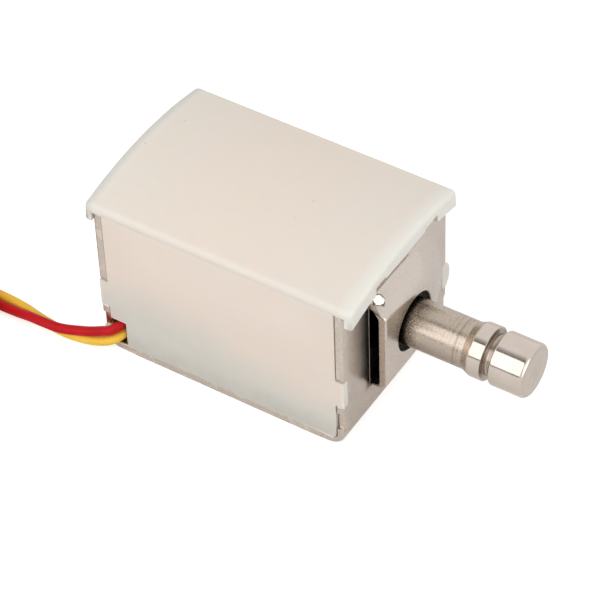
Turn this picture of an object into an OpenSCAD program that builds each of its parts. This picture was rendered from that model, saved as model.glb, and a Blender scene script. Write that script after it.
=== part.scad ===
// Solenoid cabinet lock: a bent steel frame round a coil, a clip-on cover and a spring-loaded bolt.
// X runs along the bolt, Y across the frame, and Z = 0 is the underside of the base.

/* [Frame] */
// Length over the two end plates
frame_l = 40; // [38:0.5:48]
// Width of the bent sheet
frame_w = 27.5; // [26.5:0.5:32]
// Thickness of the steel sheet
sheet_t = 1.3; // [1:0.1:1.5]
// Outer radius of the two bends, rounded by the press
bend_r = 2.8; // [2.4:0.1:3.2]
// Inner radius of the two bends
bend_in_r = 0.7; // [0.5:0.1:1]
// Height of the notches that the cover's tabs fill
tab_h = 4.8; // [3.5:0.1:6]
// Height of the lower end of those notches above the underside
tab_low_z = 7.9; // [7.4:0.1:10]
// Depth of the relief beside the foot of each end plate
relief_d = 0.4; // [0.2:0.1:0.8]
// Distance between the two mounting holes in the base
mount_pitch = 20; // [14:1:22]
// Core diameter of the tapped mounting holes
mount_d = 2.5; // [2:0.1:3.3]
// Height of the drawn collars round those holes
collar_h = 0.6; // [0.3:0.1:0.8]

/* [Hood on the front plate] */
// Height of the hood's face above the plate
hood_rise = 3.15; // [2.7:0.05:3.6]
// Place of the hood's open, lanced side at the plate
hood_mouth_y = -6.9; // [-7.5:0.1:-6.5]
// How far that side leans out over the plate at the face
mouth_lean = 0.8; // [0.4:0.1:1.2]
// Top of the hood's foot above the bolt axis
hood_up = 8.3; // [7.8:0.1:8.8]
// Bottom of the hood's foot below the bolt axis
hood_down = 8.2; // [7.8:0.1:8.6]
// Distance from the hood's foot to the edge of the plate
hood_edge = 1.15; // [0.8:0.05:2]
// Clearance of the bolt's head in the hood's hole
head_gap = 0.4; // [0.2:0.05:0.5]
// Radius rolled into the plate where the slot was lanced
slot_roll_r = 0.3; // [0.2:0.05:0.6]

/* [Cover] */
// Thickness of the side walls
cover_wall = 1; // [0.8:0.1:1.4]
// Thickness of the roof
roof_t = 1.5; // [1.2:0.1:2]
// Radius of the roof's arch
arch_r = 58; // [45:1:80]
// Radius along the roof's long edges
roof_edge_r = 0.9; // [0.5:0.1:1.2]
// How far the roof stands out over the side walls
overhang = 0.35; // [0.3:0.05:0.6]
// Thickness of the front and rear lips
lip_t = 1.15; // [0.9:0.05:1.6]
// Depth of the lips below the top of the roof
lip_drop = 2.75; // [2.6:0.05:3.4]
// Length of the wire opening along the wall
wire_gap_l = 2.6; // [2.5:0.1:3.2]
// Height of the top of the wire opening above the underside
wire_gap_z = 5.7; // [5.6:0.1:6.6]
// Height of the round bump on the right-hand tabs
tab_bump = 1; // [0.4:0.1:1.3]

/* [Bolt] */
// Shaft diameter
bolt_d = 7; // [6:0.1:7.6]
// Head diameter
head_d = 8; // [7.8:0.1:8.6]
// Reach of the bolt's tip in front of the plate
bolt_reach = 21.8; // [20:0.1:28]
// Length of the head, from the groove to the tip
head_l = 5.3; // [4.5:0.1:7]
// Width of the keeper groove
groove_w = 1.2; // [0.8:0.1:2]
// Diameter at the bottom of the keeper groove
groove_d = 6.2; // [5:0.1:6.6]
// Length of the ring behind the groove
ring_l = 1.9; // [1.2:0.1:2.5]
// Length of the cone between shaft and ring
cone_l = 1.2; // [0.6:0.1:2]
// Chamfer round the tip
tip_chamfer = 0.45; // [0.2:0.05:0.8]
// Length of the bolt behind the front of the plate
tail_l = 19; // [17:0.5:20]
// Travel of the bolt into the lock
stroke = 6; // [4:0.5:6.5]

/* [Stop and damper] */
// Thickness of the retaining clip
clip_t = 0.6; // [0.5:0.05:0.8]
// Outside diameter of the retaining clip
clip_d = 9.3; // [9:0.1:9.8]
// Diameter of the clip's groove in the bolt
clip_seat_d = 4; // [3.5:0.1:5]
// Thickness of the rubber washer
damper_t = 1.2; // [0.8:0.1:1.3]
// Outside diameter of the rubber washer
damper_d = 10; // [9.6:0.1:10]

/* [Coil] */
// Clearance between the coil and the side walls
coil_gap = 1.25; // [1:0.05:2]
// Clearance between the coil and the base
base_gap = 1.7; // [1.5:0.1:2.5]
// Clearance between the coil and the roof
roof_gap = 1.2; // [1.1:0.1:2]
// Thickness of the tape round the winding
tape_t = 0.2; // [0.1:0.05:0.4]
// Thickness of the bobbin's flanges
flange_t = 1.2; // [0.9:0.1:1.6]
// Thickness of the bobbin's hub and cup
hub_t = 1; // [0.7:0.1:1.3]
// Depth of the space for the connections behind the rear flange
chamber_l = 3.3; // [3:0.1:4.5]
// Wall of the brass guide tube
guide_t = 0.5; // [0.3:0.05:0.7]
// Thickness of the insulating card
card_t = 0.3; // [0.2:0.05:0.5]
// Diameter of the terminal pins
pin_d = 0.64; // [0.5:0.02:0.8]
// Diameter of the solder joints
solder_d = 1.7; // [1.3:0.1:1.8]

/* [Core and spring] */
// Thickness of the shim on the core's face
shim_t = 0.4; // [0.2:0.05:0.8]
// Diameter of the core's riveted spigot
rivet_d = 5; // [4:0.1:6]
// Height of the riveted head behind the rear plate
rivet_h = 0.6; // [0.3:0.1:1]
// Outside diameter of the spring
spring_d = 3.9; // [3.4:0.1:4]
// Wire of the spring
spring_wire = 0.4; // [0.3:0.02:0.5]
// Turns of the spring
spring_turns = 12; // [8:1:14]
// Depth of the spring's bore in the bolt
spring_bore_l = 9; // [7:0.5:11]
// Depth of the spring's seat in the core
spring_seat_l = 2; // [1.5:0.1:3]

/* [Leads] */
// Diameter of each lead over its insulation
lead_d = 1.45; // [1.3:0.05:1.45]
// Diameter of the tinned ends
tip_d = 0.8; // [0.5:0.1:1]
// Length of the tinned ends
tip_l = 5; // [3:0.5:8]
// Thickness of the tie round the coiled leads
tie_t = 0.3; // [0.2:0.05:0.4]
// Width of that tie
tie_w = 2.4; // [1.5:0.1:4]

/* [Hidden] */
$fn = 96;

// Clearances: sliding bolt, parts pushed together, moulded parts, and the bolt at its two stops
slide_gap = 0.05;
push_gap = 0.02;
mould_gap = 0.05;
stop_gap = 0.05;
cut = 1;

// Stations along X
front_x = frame_l / 2;
inner_x = front_x - sheet_t;
hood_inner = hood_rise - sheet_t;
clip_front_x = front_x + hood_inner - stop_gap - damper_t;
clip_back_x = clip_front_x - clip_t;
cup_floor_x = clip_back_x - stroke - 0.5;
tail_x = front_x - tail_l;
shim_x = tail_x - stroke - 2 * stop_gap;
core_x = shim_x - shim_t;
rear_flange_x = -inner_x + chamber_l;

// Coil, axis and roof
coil_d = frame_w - 2 * (cover_wall + coil_gap);
axis_z = sheet_t + base_gap + coil_d / 2;
crown_z = axis_z + coil_d / 2 + roof_gap + roof_t;
arch_z = crown_z - arch_r;
half_w = frame_w / 2;
roof_half = half_w + overhang;
guide_in_d = bolt_d + 2 * slide_gap;
guide_out_d = guide_in_d + 2 * guide_t;
hub_in_d = guide_out_d + 2 * push_gap;
hub_d = hub_in_d + 2 * hub_t;
cup_in_d = damper_d + 1.2;
cup_d = cup_in_d + 2 * hub_t;
hole_d = head_d + 2 * head_gap;
spring_bore_d = spring_d + 0.5;

// Height of the roof's outer face at a distance from the middle
function roof_z(y) = arch_z + sqrt(arch_r * arch_r - y * y);

// Blend of two points or numbers
function mix(a, b, f) = a + (b - a) * f;

function unit(v) = v / norm(v);

// Extrudes a shape drawn in the Y-Z plane along X
module along_x(x, l) {
    translate([x, 0, 0]) rotate([90, 0, 90]) linear_extrude(l) children();
}

// Extrudes a shape drawn in the X-Z plane along Y
module along_y(y, l) {
    translate([0, y + l, 0]) rotate([90, 0, 0]) linear_extrude(l) children();
}

// Turns children that stand on Z so that they lie on the bolt's axis, from x forwards
module on_axis(x) {
    translate([x, 0, axis_z]) rotate([0, 90, 0]) children();
}

// Ring of a given length on the bolt's axis
module sleeve(x, l, d_out, d_in) {
    on_axis(x) difference() {
        cylinder(d = d_out, h = l);
        translate([0, 0, -cut]) cylinder(d = d_in, h = l + 2 * cut);
    }
}

// Mirrored pair across the frame's middle
module both_sides() {
    children();
    mirror([0, 1, 0]) children();
}

// Middle of a ring of points
function middle(ring) = [for (k = [0:2]) [for (p = ring) p[k]] * [for (p = ring) 1] / len(ring)];

// Closed surface through rings of equally many points, each ring seen the same way round
module loft(rings) {
    n = len(rings[0]);
    last = len(rings) - 1;
    first_mid = n * len(rings);
    last_mid = first_mid + 1;
    points = concat([for (r = rings) each r], [middle(rings[0]), middle(rings[last])]);
    sides = [
        for (i = [0:last - 1], k = [0:n - 1])
            let (a = i * n + k, b = i * n + (k + 1) % n)
            each [[a, a + n, b], [b, a + n, b + n]]
    ];
    first_end = [for (k = [0:n - 1]) [k, (k + 1) % n, first_mid]];
    last_end = [for (k = [0:n - 1]) [last * n + (k + 1) % n, last * n + k, last_mid]];
    polyhedron(points, concat(sides, first_end, last_end), convexity = 10);
}

// Round tube along a path, with a given number of sides
module tube(path, d, sides) {
    last = len(path) - 1;
    loft([
        for (i = [0:last])
            let (
                along = unit(path[min(i + 1, last)] - path[max(i - 1, 0)]),
                across = unit(cross(along, [0, 0, 1])),
                up = cross(across, along)
            )
            [for (k = [0:sides - 1])
                let (a = 360 * k / sides) path[i] + (across * cos(a) + up * sin(a)) * d / 2]
    ]);
}

// Outline of the hood in the Y-Z plane: straight mouth, straight top and bottom, rounded far end.
// The top runs from mouth_up to end_up above the axis. The tip of the far end is at [tip_y, tip_z], and
// the powers shape its upper and lower half (1 is a straight cut, 2 an ellipse, more is squarer).
function hood_outline(mouth_y, mouth_up, end_up, down, end_y, tip_y, tip_z, up_power, low_power) =
    let (steps = 6, turns = 16)
    concat(
        [for (i = [0:steps - 1]) [mix(mouth_y, end_y, i / steps), -down]],
        [for (i = [0:turns])
            let (
                a = -90 + 180 * i / turns,
                bulge = 2 / (a > 0 ? up_power : low_power),
                reach = a > 0 ? end_up - tip_z : -down - tip_z
            )
            [end_y + (tip_y - end_y) * pow(cos(a), bulge), tip_z + reach * pow(abs(sin(a)), bulge)]],
        [for (i = [1:steps]) mix([end_y, end_up], [mouth_y, mouth_up], i / steps)]
    );

// Ring of the hood at a height above the plate, part of the way from its foot to its face
function hood_ring(foot, face, x, f) =
    [for (i = [0:len(foot) - 1])
        let (p = mix(foot[i], face[i], f)) [front_x + x, p[0], axis_z + p[1]]];

// Place of the lanced side at a height above the plate, and the width of the cut beside it
function mouth_y(x) = hood_mouth_y - mouth_lean * x / hood_rise;
lance_gap = 0.1;

// Shape of the hood's foot and face
face_up = hood_up - 1.1;
face_end_up = hole_d / 2 + 0.7;
face_down = hood_down - 2;
foot_end_y = 7;
foot_tip_y = half_w - hood_edge;
foot_tip_z = -1;
foot_up_power = 1.25;
foot_low_power = 3;
face_end_y = 2;
face_tip_y = hole_d / 2 + 1.2;
face_tip_z = -0.5;
face_power = 2;

// Outside of the hood, sunk a little way into the plate
module hood_outside() {
    foot = hood_outline(
        hood_mouth_y, hood_up, hood_up, hood_down,
        foot_end_y, foot_tip_y, foot_tip_z, foot_up_power, foot_low_power
    );
    face = hood_outline(
        mouth_y(hood_rise), face_up, face_end_up, face_down,
        face_end_y, face_tip_y, face_tip_z, face_power, face_power
    );
    sunk = sheet_t / 5;
    loft([
        hood_ring(foot, face, -sunk, -sunk / hood_rise),
        hood_ring(foot, face, hood_rise * 0.8, 0.8),
        hood_ring(foot, face, hood_rise * 0.95, 0.96),
        hood_ring(foot, face, hood_rise, 1.06)
    ]);
}

// Space under the hood, which opens through the plate and out of the mouth
module hood_inside() {
    thin_top = sheet_t * 0.6;
    thin_end = sheet_t * 0.2;
    thin_low = sheet_t * 0.35;
    thin_tip = sheet_t * 0.25;
    foot = hood_outline(
        mouth_y(-sheet_t) - lance_gap, hood_up - thin_top, hood_up - thin_end, hood_down - thin_low,
        foot_end_y, foot_tip_y - thin_tip, foot_tip_z, foot_up_power, foot_low_power
    );
    face = hood_outline(
        mouth_y(hood_inner) - lance_gap, face_up - thin_top, face_end_up - thin_end, face_down - thin_low,
        face_end_y, face_tip_y - thin_tip, face_tip_z, face_power, face_power
    );
    behind = 0.3;
    loft([
        hood_ring(foot, face, -sheet_t - behind, -behind / hood_rise),
        hood_ring(foot, face, hood_inner, 1)
    ]);
}

// Rounding that the lancing tool leaves on the plate beside the slot
module slot_roll() {
    translate([front_x, hood_mouth_y - lance_gap, axis_z - hood_down + slot_roll_r])
        linear_extrude(hood_up + hood_down - 2 * slot_roll_r)
            difference() {
                translate([-slot_roll_r, -slot_roll_r]) square([slot_roll_r + cut, slot_roll_r + 0.1]);
                translate([-slot_roll_r, -slot_roll_r]) circle(slot_roll_r);
            }
}

// Rectangle with its two lower corners rounded, standing on z
module rounded_foot(l, h, r, z) {
    translate([-l / 2, z + r]) square([l, h - r]);
    translate([-l / 2 + r, z]) square([l - 2 * r, r + 0.1]);
    for (side = [-1, 1]) translate([side * (l / 2 - r), z + r]) circle(r);
}

// Corner cut off above each tab notch, and the sheet left below and above each relief
mouth_r = 0.5;
relief_low_gap = 0.6;
relief_gap = 1.4;

// Face of an end plate: arched top, tab notches and relief beside the bend
module plate_face() {
    notch_d = cover_wall + mould_gap;
    relief_z = bend_r + relief_low_gap;
    relief_top = tab_low_z - relief_gap;
    difference() {
        intersection() {
            translate([-half_w, 0]) square([frame_w, crown_z]);
            translate([0, arch_z]) circle(arch_r - roof_t - mould_gap, $fn = 200);
        }
        for (side = [0, 1]) mirror([side, 0]) {
            translate([half_w - notch_d, tab_low_z]) square([notch_d + cut, tab_h]);
            translate([half_w, tab_low_z + tab_h]) rotate(45) square(mouth_r * sqrt(2), center = true);
            polygon([
                [half_w + cut, relief_z], [half_w - relief_d, relief_z],
                [half_w - relief_d, relief_top - relief_d], [half_w, relief_top], [half_w + cut, relief_top]
            ]);
        }
    }
}

module frame() color([0.74, 0.70, 0.66]) {
    difference() {
        union() {
            intersection() {
                along_y(-half_w, frame_w) difference() {
                    rounded_foot(frame_l, crown_z, bend_r, 0);
                    rounded_foot(frame_l - 2 * sheet_t, crown_z, bend_in_r, sheet_t);
                }
                along_x(-frame_l, 2 * frame_l) plate_face();
            }
            hood_outside();
            for (side = [-1, 1]) translate([side * mount_pitch / 2, 0, 0])
                cylinder(d = mount_d + 1.6, h = sheet_t + collar_h);
        }
        hood_inside();
        slot_roll();
        on_axis(front_x + hood_inner - cut) cylinder(d = hole_d, h = hood_rise);
        on_axis(-front_x - cut) cylinder(d = rivet_d + 2 * push_gap, h = sheet_t + 2 * cut);
        for (side = [-1, 1]) translate([side * mount_pitch / 2, 0, -cut])
            cylinder(d = mount_d, h = sheet_t + collar_h + 2 * cut);
    }
}

// Section of the roof between its arched top and a lower height, with rounded long edges
module roof_section(low_z) {
    edge_y = roof_half - roof_edge_r;
    edge_z = arch_z + sqrt(pow(arch_r - roof_edge_r, 2) - edge_y * edge_y);
    meet_y = edge_y * arch_r / (arch_r - roof_edge_r);
    intersection() {
        translate([0, arch_z]) circle(arch_r, $fn = 200);
        translate([-meet_y, low_z]) square([2 * meet_y, crown_z]);
    }
    translate([-roof_half, low_z]) square([2 * roof_half, edge_z - low_z]);
    for (side = [-1, 1]) translate([side * edge_y, edge_z]) circle(roof_edge_r);
}

// How far the roof's edge ends above the top of the end plates, and how far the walls reach up into it
skirt_gap = 0.25;
wall_lap = 0.6;

// Arched roof between the lips, hollow below over a given half width
module roof(x, l, hollow_half) {
    skirt_z = roof_z(half_w) - roof_t + skirt_gap;
    along_x(x, l) difference() {
        roof_section(skirt_z);
        intersection() {
            translate([0, arch_z]) circle(arch_r - roof_t, $fn = 200);
            translate([-hollow_half, 0]) square([2 * hollow_half, crown_z]);
        }
    }
}

// Ends of the two cut-outs in each lip, the straight stretch between them and its extra depth
left_cut_from = -7.6;
left_cut_to = -5.1;
right_cut_from = 5.3;
right_cut_to = 8.7;
lip_middle_half = 5.1;
lip_middle_drop = 0.5;
cut_top_drop = 0.5;

// Lip that hangs in front of an end plate, cut away in two places
module lip(x) {
    cuts = [[left_cut_from, left_cut_to], [right_cut_from, right_cut_to]];
    cut_top_z = roof_z(0) - roof_t - cut_top_drop;
    low_z = roof_z(roof_half) - lip_drop;
    along_x(x, lip_t) difference() {
        roof_section(low_z);
        difference() {
            translate([0, arch_z]) circle(arch_r - lip_drop, $fn = 200);
            translate([-lip_middle_half, roof_z(0) - lip_drop - lip_middle_drop])
                square([2 * lip_middle_half, lip_drop]);
        }
        for (c = cuts) translate([c[0], 0]) square([c[1] - c[0], cut_top_z]);
    }
}

// Length of a tab inside the wall that carries it
tab_back = 2;

// Tab at one end of a side wall, through the notch of the end plate
module tab(bump) {
    z = tab_low_z + mould_gap;
    h = tab_h - 2 * mould_gap;
    l = sheet_t + tab_back;
    bump_r = (h * h / 4 + bump * bump) / (2 * bump);
    translate([inner_x - tab_back, half_w - cover_wall, z]) cube([l, cover_wall, h]);
    if (bump > 0) intersection() {
        along_x(inner_x - tab_back, l) translate([half_w + bump - bump_r, z + h / 2]) circle(bump_r);
        translate([inner_x - tab_back, half_w - cover_wall / 2, z]) cube([l, cover_wall / 2 + bump, h]);
    }
}

module cover() color([0.93, 0.89, 0.84]) {
    wall_l = 2 * (inner_x - mould_gap);
    wall_top = roof_z(half_w) - roof_t + wall_lap;
    wall_foot_r = bend_in_r + mould_gap;
    reach = front_x + mould_gap;
    difference() {
        union() {
            roof(-inner_x + mould_gap, wall_l, half_w - cover_wall);
            for (end = [0, 1]) mirror([end, 0, 0]) {
                roof(inner_x - mould_gap, sheet_t + 2 * mould_gap, half_w + mould_gap);
                lip(reach);
            }
            both_sides()
                along_y(half_w - cover_wall, cover_wall)
                    rounded_foot(wall_l, wall_top - sheet_t, wall_foot_r, sheet_t);
            for (end = [0, 1]) mirror([end, 0, 0]) {
                tab(tab_bump);
                mirror([0, 1, 0]) tab(0);
            }
        }
        translate([-inner_x - cut, -half_w - cut, 0])
            cube([wire_gap_l + cut, cover_wall + 2 * cut, wire_gap_z]);
    }
}

module bolt() color([0.78, 0.75, 0.71]) {
    tip_x = front_x + bolt_reach;
    groove_x = tip_x - head_l;
    ring_x = groove_x - groove_w;
    cone_x = ring_x - ring_l;
    shaft_r = bolt_d / 2;
    head_r = head_d / 2;
    edge = 0.15;
    head_edge = 0.35;
    seat_r = clip_seat_d / 2;
    bore_r = spring_bore_d / 2;
    on_axis(0) rotate_extrude() polygon([
        [bore_r, tail_x], [shaft_r - 2 * edge, tail_x], [shaft_r, tail_x + 2 * edge],
        [shaft_r, clip_back_x - push_gap], [seat_r, clip_back_x - push_gap],
        [seat_r, clip_front_x + push_gap], [shaft_r, clip_front_x + push_gap],
        [shaft_r, cone_x - cone_l], [head_r, cone_x], [head_r, ring_x - edge], [head_r - edge, ring_x],
        [groove_d / 2, ring_x], [groove_d / 2, groove_x], [head_r - head_edge, groove_x],
        [head_r, groove_x + head_edge], [head_r, tip_x - tip_chamfer], [head_r - tip_chamfer, tip_x],
        [0, tip_x], [0, tail_x + spring_bore_l], [bore_r, tail_x + spring_bore_l]
    ]);
}

// Retaining clip with three prongs in the bolt's groove, open towards the far side of the hood
module stop_clip() color([0.16, 0.15, 0.15]) {
    relief_r = (clip_d + clip_seat_d) / 4 + 0.2;
    seat_r = clip_seat_d / 2 + push_gap;
    prong_w = 1.4;
    mouth_w = clip_seat_d * 0.86;
    along_x(clip_back_x, clip_t) translate([0, axis_z]) difference() {
        circle(d = clip_d);
        difference() {
            circle(relief_r);
            for (a = [180, 65, -65])
                rotate(a) translate([seat_r / 2, -prong_w / 2]) square([clip_d / 2, prong_w]);
        }
        circle(seat_r);
        translate([0, -mouth_w / 2]) square([clip_d, mouth_w]);
    }
}

module damper_washer() color([0.09, 0.09, 0.10]) sleeve(clip_front_x, damper_t, damper_d, guide_in_d);

// Stations of the spring's wire: closed end turns, and an even pitch between them
spring_start = core_x - spring_seat_l + push_gap + spring_wire / 2;
spring_end = tail_x + spring_bore_l - push_gap - spring_wire / 2;
closed_pitch = spring_wire * 1.05;
open_pitch = (spring_end - spring_start - 2 * closed_pitch) / (spring_turns - 2);
function spring_station(n) =
    n < 1 ? spring_start + n * closed_pitch
    : n > spring_turns - 1 ? spring_end - (spring_turns - n) * closed_pitch
    : spring_start + closed_pitch + (n - 1) * open_pitch;

// Compression spring from the seat in the core to the end of the bolt's bore
module return_spring() color([0.70, 0.70, 0.72]) {
    turn_steps = 12;
    mean_r = (spring_d - spring_wire) / 2;
    tube([
        for (i = [0:spring_turns * turn_steps])
            let (n = i / turn_steps)
            [spring_station(n), mean_r * cos(360 * n), axis_z + mean_r * sin(360 * n)]
    ], spring_wire, 6);
}

module fixed_core() color([0.66, 0.64, 0.61]) {
    rivet_r = rivet_d / 2;
    seat_r = spring_bore_d / 2;
    flare = 0.7;
    on_axis(0) rotate_extrude() polygon([
        [0, -front_x - rivet_h], [rivet_r - flare / 2, -front_x - rivet_h], [rivet_r + flare, -front_x],
        [rivet_r, -front_x], [rivet_r, -inner_x], [bolt_d / 2, -inner_x], [bolt_d / 2, core_x],
        [seat_r, core_x], [seat_r, core_x - spring_seat_l], [0, core_x - spring_seat_l]
    ]);
}

module core_shim() color([0.80, 0.66, 0.36]) sleeve(core_x, shim_t, bolt_d - 0.1, spring_bore_d);

module guide_tube() color([0.80, 0.66, 0.36]) {
    sleeve(-inner_x, cup_floor_x + inner_x, guide_out_d, guide_in_d);
}

// Places of the two terminal pins on the rear flange: across, and above the underside
pin_places = [[-7.5, 4.9], [-4.5, 3]];

// Rectangular flange with rounded corners, between the bends and the roof
module flange_face() {
    side_gap = 0.3;
    corner_r = 1.5;
    w = frame_w - 2 * (cover_wall + side_gap);
    low_z = sheet_t + bend_in_r + mould_gap;
    top_z = roof_z(w / 2) - roof_t - side_gap;
    h = top_z - low_z;
    translate([-w / 2 + corner_r, low_z]) square([w - 2 * corner_r, h]);
    translate([-w / 2, low_z + corner_r]) square([w, h - 2 * corner_r]);
    for (y = [-w / 2 + corner_r, w / 2 - corner_r], z = [low_z + corner_r, top_z - corner_r])
        translate([y, z]) circle(corner_r);
}

module bobbin() color([0.15, 0.15, 0.16]) {
    hub_end_x = -inner_x + card_t;
    difference() {
        union() {
            along_x(inner_x - flange_t, flange_t) flange_face();
            along_x(rear_flange_x, flange_t) flange_face();
            on_axis(hub_end_x) cylinder(d = hub_d, h = cup_floor_x - hub_end_x);
            on_axis(cup_floor_x - hub_t) cylinder(d = cup_d, h = inner_x - cup_floor_x + hub_t);
        }
        on_axis(hub_end_x - cut) cylinder(d = hub_in_d, h = frame_l);
        on_axis(cup_floor_x) cylinder(d = cup_in_d, h = frame_l);
        for (p = pin_places) translate([rear_flange_x - cut, p[0], p[1]]) rotate([0, 90, 0])
            cylinder(d = pin_d + 2 * push_gap, h = flange_t + 2 * cut);
    }
}

module winding() color([0.72, 0.42, 0.26]) {
    wire_gap = 0.05;
    out_r = coil_d / 2 - tape_t - wire_gap;
    hub_r = hub_d / 2 + wire_gap;
    cup_r = cup_d / 2 + wire_gap;
    back_x = rear_flange_x + flange_t;
    front = inner_x - flange_t;
    step_x = cup_floor_x - hub_t - wire_gap;
    on_axis(0) rotate_extrude() polygon([
        [hub_r, back_x], [out_r, back_x], [out_r, front], [cup_r, front], [cup_r, step_x], [hub_r, step_x]
    ]);
}

module coil_tape() color([0.86, 0.74, 0.52]) {
    back_x = rear_flange_x + flange_t;
    sleeve(back_x, inner_x - flange_t - back_x, coil_d, coil_d - 2 * tape_t);
}

module insulating_card() color([0.45, 0.30, 0.22]) {
    margin = 1.6;
    hole_r = guide_out_d / 2 + 0.1;
    low_z = sheet_t + bend_in_r + 0.5;
    high_z = roof_z(half_w) - roof_t - 0.8;
    along_x(-inner_x, card_t) difference() {
        translate([-half_w + margin, low_z]) square([frame_w - 2 * margin, high_z - low_z]);
        translate([0, axis_z]) circle(hole_r);
    }
}

// Middle of the solder joints and of the leads' ends, behind the rear flange
joint_back = 1.5;
lead_x = rear_flange_x - joint_back;

module terminal_pins() color([0.80, 0.66, 0.36]) {
    back = 1.1;
    for (p = pin_places) translate([lead_x - back, p[0], p[1]]) rotate([0, 90, 0])
        cylinder(d = pin_d, h = rear_flange_x + flange_t - lead_x + back);
}

module solder_joints() color([0.72, 0.72, 0.73]) {
    hole_r = pin_d / 2 + push_gap;
    for (p = pin_places) translate([lead_x, p[0], p[1]]) rotate([0, 90, 0]) rotate_extrude() intersection() {
        circle(d = solder_d);
        translate([hole_r, -solder_d]) square([solder_d, 2 * solder_d]);
    }
}

// Routes of the leads, from the solder joints through the opening in the wall to the coil
red_route = [
    [-16.9, -8.5, 4.9], [-16.9, -10.5, 4.9], [-16.9, -12.2, 4.85], [-17.3, -13.5, 4.6], [-18.3, -14.55, 4],
    [-19.7, -14.85, 3.35], [-21.3, -15.15, 2.7], [-23, -15.5, 2.25], [-26, -16.5, 2.15], [-28.8, -16.6, 2],
    [-31.2, -16.4, 1.65], [-33.4, -16.15, 1.1], [-35.2, -16.05, 0.85], [-37, -16, 0.73], [-40, -16, 0.85],
    [-43, -15.98, 1.03], [-45.5, -15.98, 1.03], [-47.3, -16.22, 1.03]
];
yellow_route = [
    [-16.9, -5.5, 3], [-16.9, -8.5, 3], [-16.9, -12.2, 3], [-17.3, -13.5, 2.65], [-18.3, -14.5, 2.05],
    [-19.7, -14.85, 1.4], [-21.3, -15.1, 0.9], [-23, -15.4, 0.73], [-26, -15.7, 0.73], [-28.8, -15.4, 0.73],
    [-31, -15.1, 0.73], [-33.5, -14.65, 0.73], [-38, -14.35, 0.73], [-41, -14.45, 0.85],
    [-43.5, -14.53, 1.03], [-45.5, -14.53, 1.03], [-47.3, -14.73, 1.03]
];

// The last stretch of each lead, from the top of the coil down to the surface
red_tail = [
    [-39, -23.9, 6.4], [-39.4, -21.5, 6.3], [-40.9, -19.5, 5.9], [-42.6, -18.2, 4.8], [-44.5, -17.45, 3.3],
    [-46.4, -17.75, 2], [-47.7, -18.6, 1.15], [-48.2, -19.7, 0.8], [-48.3, -20.9, 0.73]
];
yellow_tail = [
    [-51, -16.75, 5.6], [-53.2, -18.45, 5.3], [-54.85, -21, 4.3], [-55.15, -23.8, 2.9], [-54.6, -26.2, 1.5],
    [-53.9, -27.7, 0.85], [-53.1, -28.9, 0.73]
];

module red_lead() color([0.80, 0.08, 0.10]) {
    tube(red_route, lead_d, 8);
    tube(red_tail, lead_d, 8);
}

module yellow_lead() color([0.95, 0.70, 0.14]) {
    tube(yellow_route, lead_d, 8);
    tube(yellow_tail, lead_d, 8);
}

// The coiled length: two turns side by side, five turns high
coil_place = [-45.5, -22.6];
coil_mid_r = 7.35;
coil_turns_across = 2;
coil_turns_high = 5;

module lead_coil() color([0.87, 0.40, 0.13]) {
    w = coil_turns_across * lead_d;
    h = coil_turns_high * lead_d;
    r = lead_d / 2;
    translate([coil_place[0], coil_place[1], tie_t]) rotate_extrude() {
        translate([coil_mid_r - w / 2, r]) square([w, h - 2 * r]);
        translate([coil_mid_r - w / 2 + r, 0]) square([w - 2 * r, h]);
        for (x = [coil_mid_r - w / 2 + r, coil_mid_r + w / 2 - r], z = [r, h - r])
            translate([x, z]) circle(r);
    }
}

// Tie round the coiled turns, on the side away from the lock
module coil_tie() color([0.92, 0.92, 0.90]) {
    w = coil_turns_across * lead_d;
    h = coil_turns_high * lead_d;
    r = lead_d / 2;
    spread = tie_w / coil_mid_r * 180 / PI;
    translate([coil_place[0], coil_place[1], 0]) rotate(-90 - spread / 2)
        rotate_extrude(angle = spread) translate([coil_mid_r, 0]) difference() {
            tie_outline(w + 2 * tie_t, h + 2 * tie_t, r + tie_t, 0);
            tie_outline(w + 2 * mould_gap, h + 2 * mould_gap, r, tie_t - mould_gap);
        }
}

// Rectangle with rounded corners, standing on z
module tie_outline(w, h, r, z) {
    translate([-w / 2 + r, z]) square([w - 2 * r, h]);
    translate([-w / 2, z + r]) square([w, h - 2 * r]);
    for (x = [-w / 2 + r, w / 2 - r], y = [z + r, z + h - r]) translate([x, y]) circle(r);
}

// Bare end of a lead, in line with its last stretch
module lead_tip(tail) {
    end = tail[len(tail) - 1];
    way = end - tail[len(tail) - 2];
    translate(end) rotate([0, 0, atan2(way[1], way[0])]) rotate([0, 90, 0]) cylinder(d = tip_d, h = tip_l);
}

module lead_tips() color([0.75, 0.75, 0.76]) {
    lead_tip(red_tail);
    lead_tip(yellow_tail);
}

frame();
cover();
bolt();
stop_clip();
damper_washer();
return_spring();
fixed_core();
core_shim();
guide_tube();
bobbin();
winding();
coil_tape();
insulating_card();
terminal_pins();
solder_joints();
red_lead();
yellow_lead();
lead_coil();
coil_tie();
lead_tips();
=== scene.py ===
# %% [markdown]
# # A solenoid cabinet lock
# A coil under a milky cover pulls a round steel bolt back through the raised hood of a bent
# steel frame, and a spring pushes it out again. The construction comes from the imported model,
# in metres, with +X along the bolt, +Y across the frame and +Z up from the base. This lesson
# adds the looks around it: finer meshes, finishes, the leads at their real length, light and
# a camera. Sizes below are written in millimetres and multiplied by mm when a mesh is made.

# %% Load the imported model
import math
from contextlib import contextmanager

import bmesh
import bpy
import numpy as np
from mathutils import Matrix, Vector


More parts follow.
